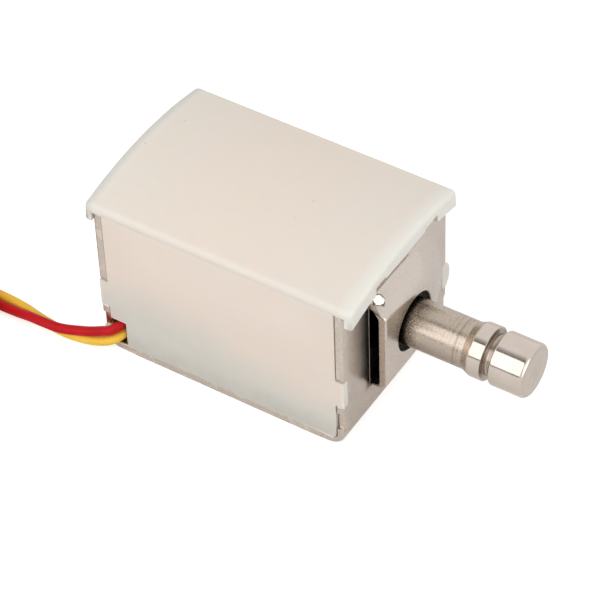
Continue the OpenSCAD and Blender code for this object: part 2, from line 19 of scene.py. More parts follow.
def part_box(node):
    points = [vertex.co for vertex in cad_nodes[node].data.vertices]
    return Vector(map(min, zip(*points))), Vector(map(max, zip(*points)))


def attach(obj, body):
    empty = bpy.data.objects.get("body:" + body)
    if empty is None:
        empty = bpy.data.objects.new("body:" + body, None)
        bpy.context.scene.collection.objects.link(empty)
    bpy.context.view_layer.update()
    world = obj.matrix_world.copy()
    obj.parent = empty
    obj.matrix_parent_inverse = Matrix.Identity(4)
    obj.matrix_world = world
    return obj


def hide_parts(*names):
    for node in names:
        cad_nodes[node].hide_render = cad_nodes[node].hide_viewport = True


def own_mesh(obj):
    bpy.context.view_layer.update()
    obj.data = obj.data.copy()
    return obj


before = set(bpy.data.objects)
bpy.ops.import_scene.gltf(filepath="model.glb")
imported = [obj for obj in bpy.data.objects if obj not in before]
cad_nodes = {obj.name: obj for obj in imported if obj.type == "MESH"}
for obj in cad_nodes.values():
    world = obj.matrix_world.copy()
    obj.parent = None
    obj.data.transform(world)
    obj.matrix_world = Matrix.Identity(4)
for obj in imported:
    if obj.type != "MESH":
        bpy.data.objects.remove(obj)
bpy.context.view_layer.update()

mm = 0.001
scene = bpy.context.scene
scene.view_settings.view_transform = "Standard"

# %% [markdown]
# The camera comes first, because everything is judged through it. A long lens looks down at
# about 45 degrees past the corner between the front plate and the left side. Its place, angles
# and lens were solved from the straight edges of the frame, so they are written as they are.

# %% Camera
camera_place = Vector((171.46, -250.38, 311.94)) * mm
camera_azimuth = math.radians(33.72)
camera_elevation = math.radians(45.18)
camera_roll = math.radians(-2.26)
camera_lens = 182.8
camera_sensor = 36
camera_near = 0.01


def add_object(name, data):
    """A new object in the scene that shows a mesh, a curve, a lamp or a camera."""
    made = bpy.data.objects.new(name, data)
    scene.collection.objects.link(made)
    return made


def add_camera():
    """A camera at camera_place that looks along its own -Z, turned by the three angles."""
    level = Vector((math.cos(camera_azimuth), math.sin(camera_azimuth), 0))
    flat = math.cos(camera_elevation)
    back = Vector((math.sin(camera_azimuth) * flat, -math.cos(camera_azimuth) * flat,
                   math.sin(camera_elevation)))
    over = back.cross(level)
    right = level * math.cos(camera_roll) + over * math.sin(camera_roll)
    up = over * math.cos(camera_roll) - level * math.sin(camera_roll)
    data = bpy.data.cameras.new("camera")
    data.lens = camera_lens
    data.sensor_width = camera_sensor
    data.clip_start = camera_near
    camera = add_object("camera", data)
    turn = Matrix((right, up, back)).transposed().to_4x4()
    camera.matrix_world = Matrix.Translation(camera_place) @ turn
    scene.camera = camera


add_camera()
print("camera distance from the lock:", round(camera_place.length, 3), "m")

# %% [markdown]
# Two soft PVC leads come out of a small opening at the rear left corner. Each one is a single
# Bezier curve with a round bevel: it bends down to the table, runs out of the picture and is
# wound there into one small coil of two lanes, red inside and yellow outside. The routes are
# given lists of points, and a loop works out the turns of the coil.

# %% Lead routes
lead_d = 1.45
coil_x = -45.5
coil_y = -22.6
coil_pitch = 1.46
coil_z = 1.03
points_per_turn = 16
red_lane = {"radius": 6.62, "turns": 3.72}
yellow_lane = {"radius": 8.08, "turns": 3.12}

red_route = [
    (-16.9, -8.5, 4.9), (-16.9, -10.5, 4.9), (-16.9, -12.2, 4.85), (-17.3, -13.5, 4.6),
    (-18.3, -14.55, 4), (-19.7, -14.85, 3.35), (-21.3, -15.15, 2.7), (-23, -15.5, 2.25),
    (-26, -16.5, 2.15), (-28.8, -16.6, 2), (-31.2, -16.4, 1.65), (-33.4, -16.15, 1.1),
    (-35.2, -16.05, 0.85), (-37, -16, 0.73), (-40, -16, 0.85), (-43, -15.98, 1.03),
]
yellow_route = [
    (-16.9, -5.5, 3), (-16.9, -8.5, 3), (-16.9, -12.2, 3), (-17.3, -13.5, 2.65),
    (-18.3, -14.5, 2.05), (-19.7, -14.85, 1.4), (-21.3, -15.1, 0.9), (-23, -15.4, 0.73),
    (-26, -15.7, 0.73), (-28.8, -15.4, 0.73), (-31, -15.1, 0.73), (-33.5, -14.65, 0.73),
    (-38, -14.35, 0.73), (-41, -14.45, 0.85), (-43.5, -14.53, 1.03),
]
red_tail = [
    (-39, -23.9, 6.4), (-39.4, -21.5, 6.3), (-40.9, -19.5, 5.9), (-42.6, -18.2, 4.8),
    (-44.5, -17.45, 3.3), (-46.4, -17.75, 2), (-47.7, -18.6, 1.15), (-48.2, -19.7, 0.8),
    (-48.3, -20.9, 0.73),
]
yellow_tail = [
    (-51, -16.75, 5.6), (-53.2, -18.45, 5.3), (-54.85, -21, 4.3), (-55.15, -23.8, 2.9),
    (-54.6, -26.2, 1.5), (-53.9, -27.7, 0.85), (-53.1, -28.9, 0.73),
]


def coil_turns(radius, turns):
    """Points of a rising coil that starts at its far side and turns anticlockwise."""
    points = []
    for step in range(round(turns * points_per_turn)):
        turn = step / points_per_turn
        angle = math.tau * (turn + 0.25)
        points.append((coil_x + radius * math.cos(angle), coil_y + radius * math.sin(angle),
                       coil_z + coil_pitch * turn))
    return points


def lead_curve(name, route):
    """One open curve through the route's points, as thick as a lead."""
    data = bpy.data.curves.new(name, "CURVE")
    data.dimensions = "3D"
    data.bevel_depth = lead_d / 2 * mm
    data.bevel_resolution = 6
    data.resolution_u = 10
    data.use_fill_caps = True
    spline = data.splines.new("BEZIER")
    spline.bezier_points.add(len(route) - 1)
    for point, place in zip(spline.bezier_points, route):
        point.co = Vector(place) * mm
        point.handle_left_type = "AUTO"
        point.handle_right_type = "AUTO"
    return add_object(name, data)


red_cord = lead_curve("red_cord", red_route + coil_turns(**red_lane) + red_tail)
yellow_cord = lead_curve("yellow_cord", yellow_route + coil_turns(**yellow_lane) + yellow_tail)
for cord in (red_cord, yellow_cord):
    print(cord.name, round(cord.data.splines[0].calc_length() / mm), "mm long")

# %% [markdown]
# The light, the table and the finishes are small trees of nodes, and so are the spring and the
# bare ends of the leads. Three helpers keep that code short: one gives a socket a value or a
# link, one adds a node and fills its sockets, by name or by number, and one blends colours.

# %% Node helpers


def put(tree, socket, value):
    """Links a socket to another one, or sets a plain value on it."""
    if isinstance(value, bpy.types.NodeSocket):
        tree.links.new(value, socket)
    elif socket.type == "RGBA" and len(value) == 3:
        socket.default_value = (*value, 1)
    else:
        socket.default_value = value


def add_node(tree, kind, inputs, **settings):
    """A node of that kind with its settings made and its inputs set or linked."""
    node = tree.nodes.new(kind)
    for name, value in settings.items():
        setattr(node, name, value)
    for key, value in inputs.items():
        put(tree, node.inputs[key], value)
    return node


def mix_colours(tree, share, first, second):
    """Two colours blended by a share. A Mix node has its colours in sockets 6 and 7."""
    inputs = {0: share, 6: first, 7: second}
    return add_node(tree, "ShaderNodeMix", inputs, data_type="RGBA").outputs[2]


print("node helpers ready")

# %% [markdown]
# The lock stands on a white table under a white sky. A metal part looks like what it mirrors, so
# both show white, or nearly so, to the camera and in mirror images, while the light that they
# give is softer. The table keeps the shadow.

# %% Sky and table
white = (1, 1, 1)
sky_tint = (1, 0.985, 0.97)
table_size = 4.0


def sees_background(tree):
    """A socket that is 1 for rays that see the background: straight, mirrored or through glass."""
    path = tree.nodes.new("ShaderNodeLightPath")
    mask = path.outputs["Is Camera Ray"]
    for name in ("Is Glossy Ray", "Is Transmission Ray"):
        either = {0: mask, 1: path.outputs[name]}
        mask = add_node(tree, "ShaderNodeMath", either, operation="MAXIMUM").outputs[0]
    return mask


def add_world(ambient):
    """White to the camera and in reflections, and a softer ambient light for the rest."""
    world = bpy.data.worlds.new("studio_air")
    scene.world = world
    world.use_nodes = True
    tree = world.node_tree
    shown = tree.nodes["Background"]
    put(tree, shown.inputs["Color"], white)
    put(tree, shown.inputs["Strength"], 1)
    fill = add_node(tree, "ShaderNodeBackground", {"Color": sky_tint, "Strength": ambient})
    pick = add_node(tree, "ShaderNodeMixShader",
                    {0: sees_background(tree), 1: fill.outputs[0], 2: shown.outputs[0]})
    put(tree, tree.nodes["World Output"].inputs["Surface"], pick.outputs[0])


def flat_board(name, half, low, high):
    """A flat rectangle in its own XY plane."""
    mesh = bpy.data.meshes.new(name)
    mesh.from_pydata([(-half, low, 0), (half, low, 0), (half, high, 0), (-half, high, 0)],
                     [], [(0, 1, 2, 3)])
    return add_object(name, mesh)


def add_table(paint, mirrored, lift):
    """A wide pale table top. Lit parts show as white, shadows stay, metal mirrors it brighter."""
    half = table_size / 2
    table = flat_board("table", half, -half, half)
    material = bpy.data.materials.new("table_paint")
    material.use_nodes = True
    tree = material.node_tree
    path = tree.nodes.new("ShaderNodeLightPath")
    tone = mix_colours(tree, path.outputs["Is Glossy Ray"], (paint,) * 3, (mirrored,) * 3)
    seen = {0: path.outputs["Is Camera Ray"], 1: lift}
    glow = add_node(tree, "ShaderNodeMath", seen, operation="MULTIPLY")
    looks = {"Base Color": tone, "Roughness": 0.9, "Specular IOR Level": 0,
             "Emission Color": white, "Emission Strength": glow.outputs[0]}
    for name, value in looks.items():
        put(tree, tree.nodes["Principled BSDF"].inputs[name], value)
    table.data.materials.append(material)


add_world(ambient=0.36)
add_table(paint=0.62, mirrored=0.95, lift=0.66)
print("table:", table_size, "m wide, under a white sky")

# %% [markdown]
# Softboxes give the metal its stripes. A large one on the left makes the long white streak on
# the bolt, a dark board behind it makes the dark stripe beside that streak, and one in front
# brightens the plate. The other three are hidden from mirror images, so they only fill the
# plastic and the leads: from above, from the far side and from the near side.

# %% Light panels
lock_middle = Vector((10, 0, 12)) * mm
left_toward = (-0.39, -0.72, 0.58)
cloth_glow = 0.12


def face_lock(thing, toward, distance):
    """Puts a thing at a distance from the lock's middle, with its back away from the lock."""
    ray = Vector(toward).normalized()
    thing.rotation_mode = "QUATERNION"
    thing.rotation_quaternion = ray.to_track_quat("Z", "Y")
    thing.location = ray * distance + lock_middle


def add_panel(name, toward, distance, width, height, radiance, mirrored):
    """A softbox in direction toward that faces the lock. Radiance 1 is as bright as the sky."""
    data = bpy.data.lights.new(name, "AREA")
    data.shape = "RECTANGLE"
    data.size = width
    data.size_y = height
    data.energy = radiance * math.pi * width * height
    panel = add_object(name, data)
    face_lock(panel, toward, distance)
    panel.visible_glossy = mirrored


def add_cloth(name, toward, distance, width, low, high, panel_high):
    """A dark board that only mirror images show. It fades to white above the panel before it."""
    board = flat_board(name, width / 2, low, high)
    face_lock(board, toward, distance)
    material = bpy.data.materials.new("dark_cloth")
    material.use_nodes = True
    tree = material.node_tree
    tree.nodes.remove(tree.nodes["Principled BSDF"])
    place = tree.nodes.new("ShaderNodeTexCoord")
    height = add_node(tree, "ShaderNodeSeparateXYZ", {0: place.outputs["Object"]})
    fade = add_node(tree, "ShaderNodeMapRange",
                    {0: height.outputs["Y"], 1: panel_high, 2: high, 3: cloth_glow, 4: 1.0})
    cloth = add_node(tree, "ShaderNodeEmission", {"Strength": fade.outputs[0]})
    put(tree, tree.nodes["Material Output"].inputs["Surface"], cloth.outputs[0])
    board.data.materials.append(material)
    board.visible_camera = False
    board.visible_diffuse = False
    board.visible_transmission = False
    board.visible_shadow = False


add_panel("left_panel", left_toward, distance=0.5, width=0.42, height=0.5,
          radiance=1.8, mirrored=True)
add_cloth("left_frame", left_toward, distance=0.503, width=0.42, low=-0.3, high=0.55,
          panel_high=0.25)
add_panel("top_panel", (0, 0.5, 1), distance=0.7, width=0.55, height=0.55,
          radiance=1.3, mirrored=False)
add_panel("rear_panel", (0.72, 0.62, 0.5), distance=0.6, width=0.4, height=0.35,
          radiance=1.3, mirrored=False)
add_panel("front_panel", (0.9, -0.3, 0.3), distance=0.5, width=0.45, height=0.45,
          radiance=1.7, mirrored=True)
add_panel("side_panel", (-0.15, -1, 0.15), distance=0.5, width=0.4, height=0.4,
          radiance=0.8, mirrored=False)

# %% [markdown]
# Every finish below is a node material on object coordinates, so a grain has a real size: a
# noise scale of 5000 means spots of about 0.2 mm. The class here keeps the node code short.
# Most of its calls add one node, and they give back the socket that carries the result.

# %% Finish helper


class Finish:
    """A Principled material with short calls for the nodes that the finishes share."""

    def __init__(self, name, **values):
        self.material = bpy.data.materials.new(name)
        self.material.use_nodes = True
        self.tree = self.material.node_tree
        self.shader = self.tree.nodes["Principled BSDF"]
        self.place = self.tree.nodes.new("ShaderNodeTexCoord").outputs["Object"]
        for key, value in values.items():
            self.set(key.replace("_", " ").title().replace("Ior", "IOR"), value)

    def set(self, name, value):
        """Sets or links one input of the shader."""
        put(self.tree, self.shader.inputs[name], value)

    def add(self, kind, inputs, **settings):
        """Adds a node and gives back its outputs."""
        return add_node(self.tree, kind, inputs, **settings).outputs

    def math(self, operation, first, second=0.0):
        """One operation on sockets or numbers."""
        return self.add("ShaderNodeMath", {0: first, 1: second}, operation=operation)[0]

    def axis(self, name):
        """One coordinate, in millimetres."""
        return self.math("DIVIDE", self.add("ShaderNodeSeparateXYZ", {0: self.place})[name], mm)

    def stretch(self, x, y, z):
        """Object coordinates scaled along each axis, for streaks."""
        return self.add("ShaderNodeMapping", {"Vector": self.place, "Scale": (x, y, z)})[0]

    def noise(self, scale, detail=3.0, roughness=0.55, place=None, twist=0.0):
        """Soft spots from 0 to 1. Detail adds finer ones, and twist bends them."""
        inputs = {"Vector": place or self.place, "Scale": scale, "Detail": detail,
                  "Roughness": roughness, "Distortion": twist}
        return self.add("ShaderNodeTexNoise", inputs)[0]

    def cells(self, scale):
        """Distance to the nearest of many scattered points, for specks and pits."""
        return self.add("ShaderNodeTexVoronoi", {"Vector": self.place, "Scale": scale})["Distance"]

    def fade(self, value, low, high, at_low=0.0, at_high=1.0):
        """A smooth step of a socket from at_low to at_high."""
        inputs = dict(enumerate((value, low, high, at_low, at_high)))
        return self.add("ShaderNodeMapRange", inputs, interpolation_type="SMOOTHSTEP")[0]

    def times(self, *factors):
        """Product of two or more sockets or numbers."""
        product = factors[0]
        for factor in factors[1:]:
            product = self.math("MULTIPLY", product, factor)
        return product

    def band(self, value, low, high, soft):
        """1 between two values of a socket and 0 outside, with soft ends."""
        return self.times(self.fade(value, low - soft, low + soft),
                          self.fade(value, high - soft, high + soft, 1, 0))

    def distance(self, spot):
        """Distance to a spot on the object, both in millimetres."""
        ends = {0: self.place, 1: Vector(spot) * mm}
        apart = self.add("ShaderNodeVectorMath", ends, operation="DISTANCE")["Value"]
        return self.math("DIVIDE", apart, mm)

    def mix(self, share, first, second):
        """Two colours blended by a share."""
        return mix_colours(self.tree, share, first, second)

    def bump(self, height, depth_mm, under=None):
        """Adds a relief of that depth to the surface, over an earlier one where given."""
        inputs = {"Distance": depth_mm * mm, "Height": height}
        if under is not None:
            inputs["Normal"] = under
        relief = self.add("ShaderNodeBump", inputs)[0]
        self.set("Normal", relief)
        return relief


print("finish helper ready")

# %% [markdown]
# The leads' insulation is soft extruded PVC: an even colour with a slight waxy depth, a broad
# soft shine and very fine length-wise unevenness. A little subsurface light keeps the shaded
# side saturated, as it is on the real wire.

# %% Lead insulation


def pvc(name, colour, dark):
    """Waxy extruded insulation that varies a little between two colours."""
    finish = Finish(name, subsurface_weight=0.25, subsurface_scale=0.4 * mm,
                    specular_ior_level=0.18)
    finish.set("Subsurface Radius", (1.0, 0.5, 0.3))
    cloud = finish.noise(260, 3)
    finish.set("Base Color", finish.mix(finish.fade(cloud, 0.35, 0.7), dark, colour))
    grain = finish.noise(3500, 3)
    finish.set("Roughness", finish.fade(grain, 0.3, 0.7, 0.34, 0.5))
    waves = finish.bump(finish.noise(900, 2), 0.012)
    finish.bump(grain, 0.006, waves)
    return finish.material


red_cord.data.materials.append(pvc("red_pvc", (0.60, 0.006, 0.014), (0.50, 0.003, 0.008)))
yellow_cord.data.materials.append(pvc("yellow_pvc", (0.98, 0.66, 0.09), (0.92, 0.57, 0.06)))
print("leads dressed")

# %% [markdown]
# The frame is one strip of 1.3 mm steel, bent up at both ends. Its front plate is the hard
# part: a hood is lanced along one side and pushed out by a press, so its left end stays open
# and its far end runs out softly into the plate. A bevelled copy of the solid can't give that
# soft pressed form. So the sheet is built as a grid: rows follow the bent strip, columns run
# across it, and a height field pushes the rows of the front plate out into the hood.

# %% Sheet sizes
frame_low, frame_high = (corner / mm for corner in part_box("frame"))
bolt_low, bolt_high = (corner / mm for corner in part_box("bolt"))
plate_x = -frame_low.x
half_w = frame_high.y
axis_z = (bolt_low.z + bolt_high.z) / 2
sheet_t = 1.3
bend_r = 2.8
bend_in_r = 0.7
edge_r = 0.3
base_edge_r = 0.1
crown_r = 56.45
crown_z = -29.3
slot_left_y = -7.0
hood_mouth_y = -6.9
mouth_lean = 0.8
lean_start = 0.6
lean_height = 2.5
lean_width = 3
hole_r = 4.4
hood_rise = frame_high.x - plate_x
hood_foot_low = 8.2
hood_foot_high = 8.3
hood_low_z = axis_z - hood_foot_low
hood_high_z = axis_z + hood_foot_high


def plate_top(y):
    """Height of a plate's arched upper edge."""
    return crown_z + np.sqrt(crown_r ** 2 - y ** 2)


print("frame plates at x =", plate_x, "half width", half_w, "bolt axis at", axis_z)

# %% [markdown]
# The hood's form is a loft between two outlines seen along the bolt: a wide foot where it
# leaves the plate and a smaller flat face round the hole. Each outline has an upper and a lower
# edge that run from the open mouth to end_y and then close in a curve to a tip. The sizes in
# the two tables are measured from the bolt's axis.

# %% Hood outlines
corner_r = 1.3
corner_drop = 0.2
foot_outline = {
    "low": hood_foot_low, "near_high": hood_foot_high, "far_high": hood_foot_high,
    "end_y": 7.0, "tip_y": half_w - 1.15, "tip_z": -1.0, "high_power": 1.25, "low_power": 3.0,
}
face_outline = {
    "low": 6.2, "near_high": 7.2, "far_high": 5.1,
    "end_y": 2.0, "tip_y": hole_r + 1.2, "tip_z": -0.5, "high_power": 2.0, "low_power": 2.0,
}


def lerp(first, second, share):
    """A straight blend from first to second."""
    return first + (second - first) * share


def outline_reach(y, share, inset):
    """Lowest and highest point of the hood's outline at y, for a share of the way to the face."""
    near_in, far_in, low_in, tip_in = inset
    here = {key: lerp(foot_outline[key], face_outline[key], share) for key in foot_outline}
    end_y = here["end_y"]
    tip_z = here["tip_z"]
    along = np.clip((y - hood_mouth_y) / (end_y - hood_mouth_y), 0, 1)
    near = np.clip((hood_mouth_y + corner_r - y) / corner_r, 0, 1)
    corner = corner_drop * (1 - np.sqrt(1 - near ** 2))
    top = lerp(here["near_high"] - near_in, here["far_high"] - far_in, along) - corner
    bottom = low_in - here["low"]
    past = np.clip((y - end_y) / (here["tip_y"] - tip_in - end_y), 0, 1)
    high = tip_z + (top - tip_z) * (1 - past ** here["high_power"]) ** (1 / here["high_power"])
    low = tip_z + (bottom - tip_z) * (1 - past ** here["low_power"]) ** (1 / here["low_power"])
    return low, high


print("hood tips at y =", round(foot_outline["tip_y"], 2), "and", round(face_outline["tip_y"], 2))

# %% [markdown]
# A height field holds how far each spot of the plate is pushed out. A bisection finds which
# outline between foot and face passes through the spot, and that share gives the height. A
# small blur rounds the bends, as a press does, and a wider one lets the far end run out softly.

# %% Hood height field
field_step = 0.1
field_y = np.arange(-10.5, half_w + 0.05, field_step)
field_z = np.arange(-10.0, 10.0 + 0.05, field_step)
bend_blur = 0.26
far_blur = 0.85
soft_from_y = -1
soft_over_y = 7
bisections = 14
full_share = 0.99


def blurred(field, width):
    """The field smoothed by a bell curve of that width, in millimetres."""
    reach = int(3 * width / field_step)
    bell = np.exp(-0.5 * (np.arange(-reach, reach + 1) * field_step / width) ** 2)
    bell /= bell.sum()
    for turn in range(2):
        padded = np.pad(field, ((reach, reach), (0, 0)), mode="edge")
        field = sum(weight * padded[k:k + len(field)] for k, weight in enumerate(bell)).T
    return field


def hood_field(inset):
    """Height of the hood over the plate at each (z, y) of the field grid."""
    y, z = np.meshgrid(field_y, field_z)
    outside = np.zeros_like(y)
    inside = np.ones_like(y)
    for step in range(bisections):
        share = (outside + inside) / 2
        low, high = outline_reach(y, share, inset)
        within = (z > low) & (z < high)
        outside = np.where(within, share, outside)
        inside = np.where(within, inside, share)
    rise = hood_rise * np.where(outside > full_share, 1, outside)
    soft = np.clip((y - soft_from_y) / soft_over_y, 0, 1)
    return lerp(blurred(rise, bend_blur), blurred(rise, far_blur), soft)


def sample(field, y, z):
    """Field values at points, by straight blending between the grid's four neighbours."""
    column = np.clip((y - field_y[0]) / field_step, 0, len(field_y) - 1.001)
    row = np.clip((z - axis_z - field_z[0]) / field_step, 0, len(field_z) - 1.001)
    c = column.astype(int)
    r = row.astype(int)
    low = lerp(field[r, c], field[r, c + 1], column - c)
    high = lerp(field[r + 1, c], field[r + 1, c + 1], column - c)
    return lerp(low, high, row - r)


outer_field = hood_field((0, 0, 0, 0))
inner_inset = [share * sheet_t for share in (0.6, 0.2, -0.35, 0.25)]
inner_field = hood_field(inner_inset)
print("hood rises", round(float(outer_field.max()), 2), "mm")

# %% [markdown]
# Rows of the grid follow the strip from the top of the rear plate, down, under the coil and up
# the front plate. Each row is a closed ring round the sheet's section: outer face, rounded
# edge, inner face, rounded edge. The half width changes from row to row, so the notches for
# the cover's tabs and the bend reliefs come from one small table of heights and depths.

# %% Sheet rows
side_notches = [
    (2.9, 0), (3.36, 0), (3.4, 0.4), (6.1, 0.4), (6.5, 0), (7.76, 0), (7.9, 0.16), (7.91, 1.05),
    (12.69, 1.05), (12.7, 0.5), (12.8, 0.2), (13.2, 0), (30, 0),
]
notch_heights, notch_depths = zip(*side_notches)
flat_top_z = 23.4
side_top_z = float(plate_top(half_w))
first_row_z = 3.1
coarse_step = 0.8
rear_step = 0.6
front_step = 0.125
bend_steps = 13
fine_below = 0.6
fine_above = 0.7


def plate_rows(fine_step):
    """Heights of a plate's rows, with one at each corner of its side outline."""
    coarse = np.concatenate([np.arange(first_row_z, hood_low_z - fine_below, coarse_step),
                             np.linspace(flat_top_z, side_top_z, 6)])
    fine = np.arange(hood_low_z - fine_below, hood_high_z + fine_above, fine_step)
    corners = [height for height in notch_heights if height < side_top_z]
    slot_ends = [hood_low_z, hood_high_z]
    return np.unique(np.round(np.concatenate([coarse, fine, corners, slot_ends]), 3))


def strip_rows():
    """For each row: (outer x, outer z, inner x, inner z, half width, kind), from rear to front."""
    bend = np.linspace(0, math.pi / 2, bend_steps)
    rear = [(-plate_x, z, -plate_x + sheet_t, z, "rear") for z in plate_rows(rear_step)[::-1]]
    front = [(plate_x, z, plate_x - sheet_t, z, "front") for z in plate_rows(front_step)]
    out_x = plate_x - bend_r
    in_x = plate_x - sheet_t - bend_in_r
    in_z = sheet_t + bend_in_r
    turn_down = [(-out_x - bend_r * math.cos(a), bend_r - bend_r * math.sin(a),
                  -in_x - bend_in_r * math.cos(a), in_z - bend_in_r * math.sin(a), "bend")
                 for a in bend]
    turn_up = [(-xo, zo, -xi, zi, kind) for xo, zo, xi, zi, kind in turn_down[::-1]]
    base = [(x * out_x, 0.0, x * in_x, sheet_t, "base")
            for x in np.linspace(-1, 1, bend_steps)[1:-1]]
    rows = rear + turn_down + base + turn_up + front
    made = []
    for outer_x, outer_z, inner_x, inner_z, kind in rows:
        notch = np.interp(outer_z, notch_heights, notch_depths) if kind in ("rear", "front") else 0
        made.append((outer_x, outer_z, inner_x, inner_z, half_w - float(notch), kind))
    return made


rows = strip_rows()
print("rows along the strip:", len(rows))

# %% [markdown]
# With rows and columns known, numpy places all points at once. The plate's sheared edge keeps a
# small burr along the slot, and the hood's edge there is rounded and leans over the slot.

# %% Sheet points
burr = 0.035
mouth_r = 0.22
shift_run = 1.2
column_end_y = 12.2
left_columns = 9
mouth_columns = 7
hood_columns = 156


def sheet_columns():
    """Y places of the columns, fine over the hood and along the slot."""
    left = np.append(np.linspace(-column_end_y, slot_left_y - burr, left_columns), slot_left_y)
    mouth = hood_mouth_y + mouth_r * (1 - np.cos(np.linspace(0, math.pi / 2, mouth_columns)))
    hood = np.linspace(hood_mouth_y + mouth_r + 0.1, column_end_y, hood_columns)
    return np.concatenate([left, mouth, hood]), len(left) - 1


def section_ring(width, columns, radius):
    """(y, depth) points round the sheet's section. Depth runs from 0 outside to 1 inside."""
    arc = np.linspace(0, math.pi / 2, 5)[1:]
    side = width - radius
    depth = radius / sheet_t
    up = [(side + radius * math.sin(a), depth * (1 - math.cos(a))) for a in arc]
    down = [(y, 1 - d) for y, d in up[::-1]]
    corner = [(side, 0.0)] + up + down + [(side, 1.0)]
    outer = [(y, 0.0) for y in columns]
    inner = [(y, 1.0) for y in columns[::-1]]
    far = [(-y, d) for y, d in corner[::-1]]
    return np.array(outer + corner + inner + far)


def edge_shift(y, z):
    """How far the two edges along the slot leave the sheet's face: a burr and a rounding."""
    plate = np.clip((y - slot_left_y) / burr + 1, 0, 1) * (y <= slot_left_y + 0.01)
    mouth = np.clip((hood_mouth_y - y) / mouth_r + 1, 0, 1) * (y > hood_mouth_y - 0.01)
    from_low = np.clip((z - hood_low_z) / shift_run, 0, 1)
    from_high = np.clip((hood_high_z - z) / shift_run, 0, 1)
    ends = from_low * from_high
    return (burr * plate - mouth_r * (1 - np.sqrt(1 - mouth ** 2))) * np.sqrt(ends)


def sheet_points(columns):
    """All points of the strip as an array of rows by ring points by (x, y, z)."""
    table = []
    for outer_x, outer_z, inner_x, inner_z, width, kind in rows:
        ring = section_ring(width, columns, base_edge_r if kind == "base" else edge_r)
        y, depth = ring[:, 0], ring[:, 1]
        x = lerp(outer_x, inner_x, depth)
        z = lerp(outer_z, inner_z, depth)
        if kind in ("rear", "front") and outer_z > flat_top_z:
            share = (outer_z - flat_top_z) / (side_top_z - flat_top_z)
            z = flat_top_z + share * (plate_top(np.clip(y, -half_w, half_w)) - flat_top_z)
        if kind == "front":
            raised = lerp(sample(outer_field, y, z), sample(inner_field, y, z), depth)
            on_hood = y > (slot_left_y + hood_mouth_y) / 2
            x = x + raised * on_hood
            near = np.clip((hood_mouth_y + lean_width - y) / lean_width, 0, 1) * on_hood
            lean = np.clip((x - plate_x - lean_start) / (lean_height - lean_start), 0, 1)
            x = x + edge_shift(y, z) * (1 - depth)
            y = y - mouth_lean * near * lean
        table.append(np.column_stack([x, y, z]))
    return np.array(table)


columns, slot_column = sheet_columns()
points = sheet_points(columns)
print("sheet grid:", points.shape[0], "rows of", points.shape[1], "points")

# %% [markdown]
# Faces join each point to its neighbours in its own ring and in the next one. The slot beside
# the hood is made by leaving out one column of faces on both skins and closing its sides with
# walls. The two ends of the strip are closed as well.

# %% Sheet faces


def in_slot(row, after):
    """True between two neighbouring rows of the front plate that the slot parts."""
    slack = 0.001
    return row[5] == "front" and row[1] >= hood_low_z - slack and after[1] <= hood_high_z + slack


def sheet_faces(columns, left):
    """Faces of the strip as index lists, with the slot's opening and its walls."""
    count = len(columns)
    ring = len(section_ring(half_w, columns, edge_r))
    corner = (ring - 2 * count) // 2
    skin = {j: 2 * count + corner - 1 - j for j in range(count)}
    right = left + 1
    faces = []
    for i in range(len(rows) - 1):
        cut = in_slot(rows[i], rows[i + 1])
        for j in range(ring):
            k = (j + 1) % ring
            if cut and {j, k} in ({left, right}, {skin[left], skin[right]}):
                continue
            faces.append([i * ring + j, i * ring + k, (i + 1) * ring + k, (i + 1) * ring + j])
        if cut:
            for j in (left, right):
                faces.append([i * ring + j, (i + 1) * ring + j,
                              (i + 1) * ring + skin[j], i * ring + skin[j]])
    ends = [i for i in range(1, len(rows) - 1)
            if in_slot(rows[i], rows[i + 1]) != in_slot(rows[i - 1], rows[i])]
    for i in ends:
        faces.append([i * ring + n for n in (left, right, skin[right], skin[left])])
    for i in (0, len(rows) - 1):
        for j in range(count - 1):
            faces.append([i * ring + n for n in (j, j + 1, skin[j + 1], skin[j])])
        near = list(range(count - 1, count + corner + 1))
        far = list(range(2 * count + corner - 1, ring)) + [0]
        faces.append([i * ring + n for n in near])
        faces.append([i * ring + n for n in far])
    return faces


sheet_mesh = bpy.data.meshes.new("frame_sheet")
sheet_mesh.from_pydata((points.reshape(-1, 3) * mm).tolist(), [], sheet_faces(columns, slot_column))
print("sheet faces:", len(sheet_mesh.polygons))

# %% [markdown]
# Turned and punched forms are solids of revolution, so one helper revolves an outline about an
# axis. The others open a mesh for edits, apply modifiers, cut or join solids and set the
# shading. They serve the holes of the frame first, and other pieces later.

# %% Solid helpers


@contextmanager
def editing(mesh):
    """Opens a mesh for edits and writes them back at the end."""
    work = bmesh.new()
    work.from_mesh(mesh)
    yield work
    work.to_mesh(mesh)
    work.free()


def revolve(name, outline, segments=96, base=(0, 0, 0), axis="X", radius_at=None):
    """A closed solid of revolution. The outline is (along, radius) points from pole to pole."""
    made = add_object(name, bpy.data.meshes.new(name))
    with editing(made.data) as work:
        rings = []
        for along, radius in outline:
            ring = []
            for step in range(segments if radius > 0 else 1):
                angle = math.tau * step / segments
                r = radius_at(along, angle) if radius_at and radius > 0 else radius
                across = (r * math.cos(angle), r * math.sin(angle))
                place = (along, *across) if axis == "X" else (*across, along)
                ring.append(work.verts.new((Vector(place) + Vector(base)) * mm))
            rings.append(ring)
        for first, second in zip(rings, rings[1:]):
            for step in range(segments):
                after = (step + 1) % segments
                corners = [first[step % len(first)], first[after % len(first)],
                           second[after % len(second)], second[step % len(second)]]
                work.faces.new(list(dict.fromkeys(corners)))
        bmesh.ops.recalc_face_normals(work, faces=work.faces)
    return made


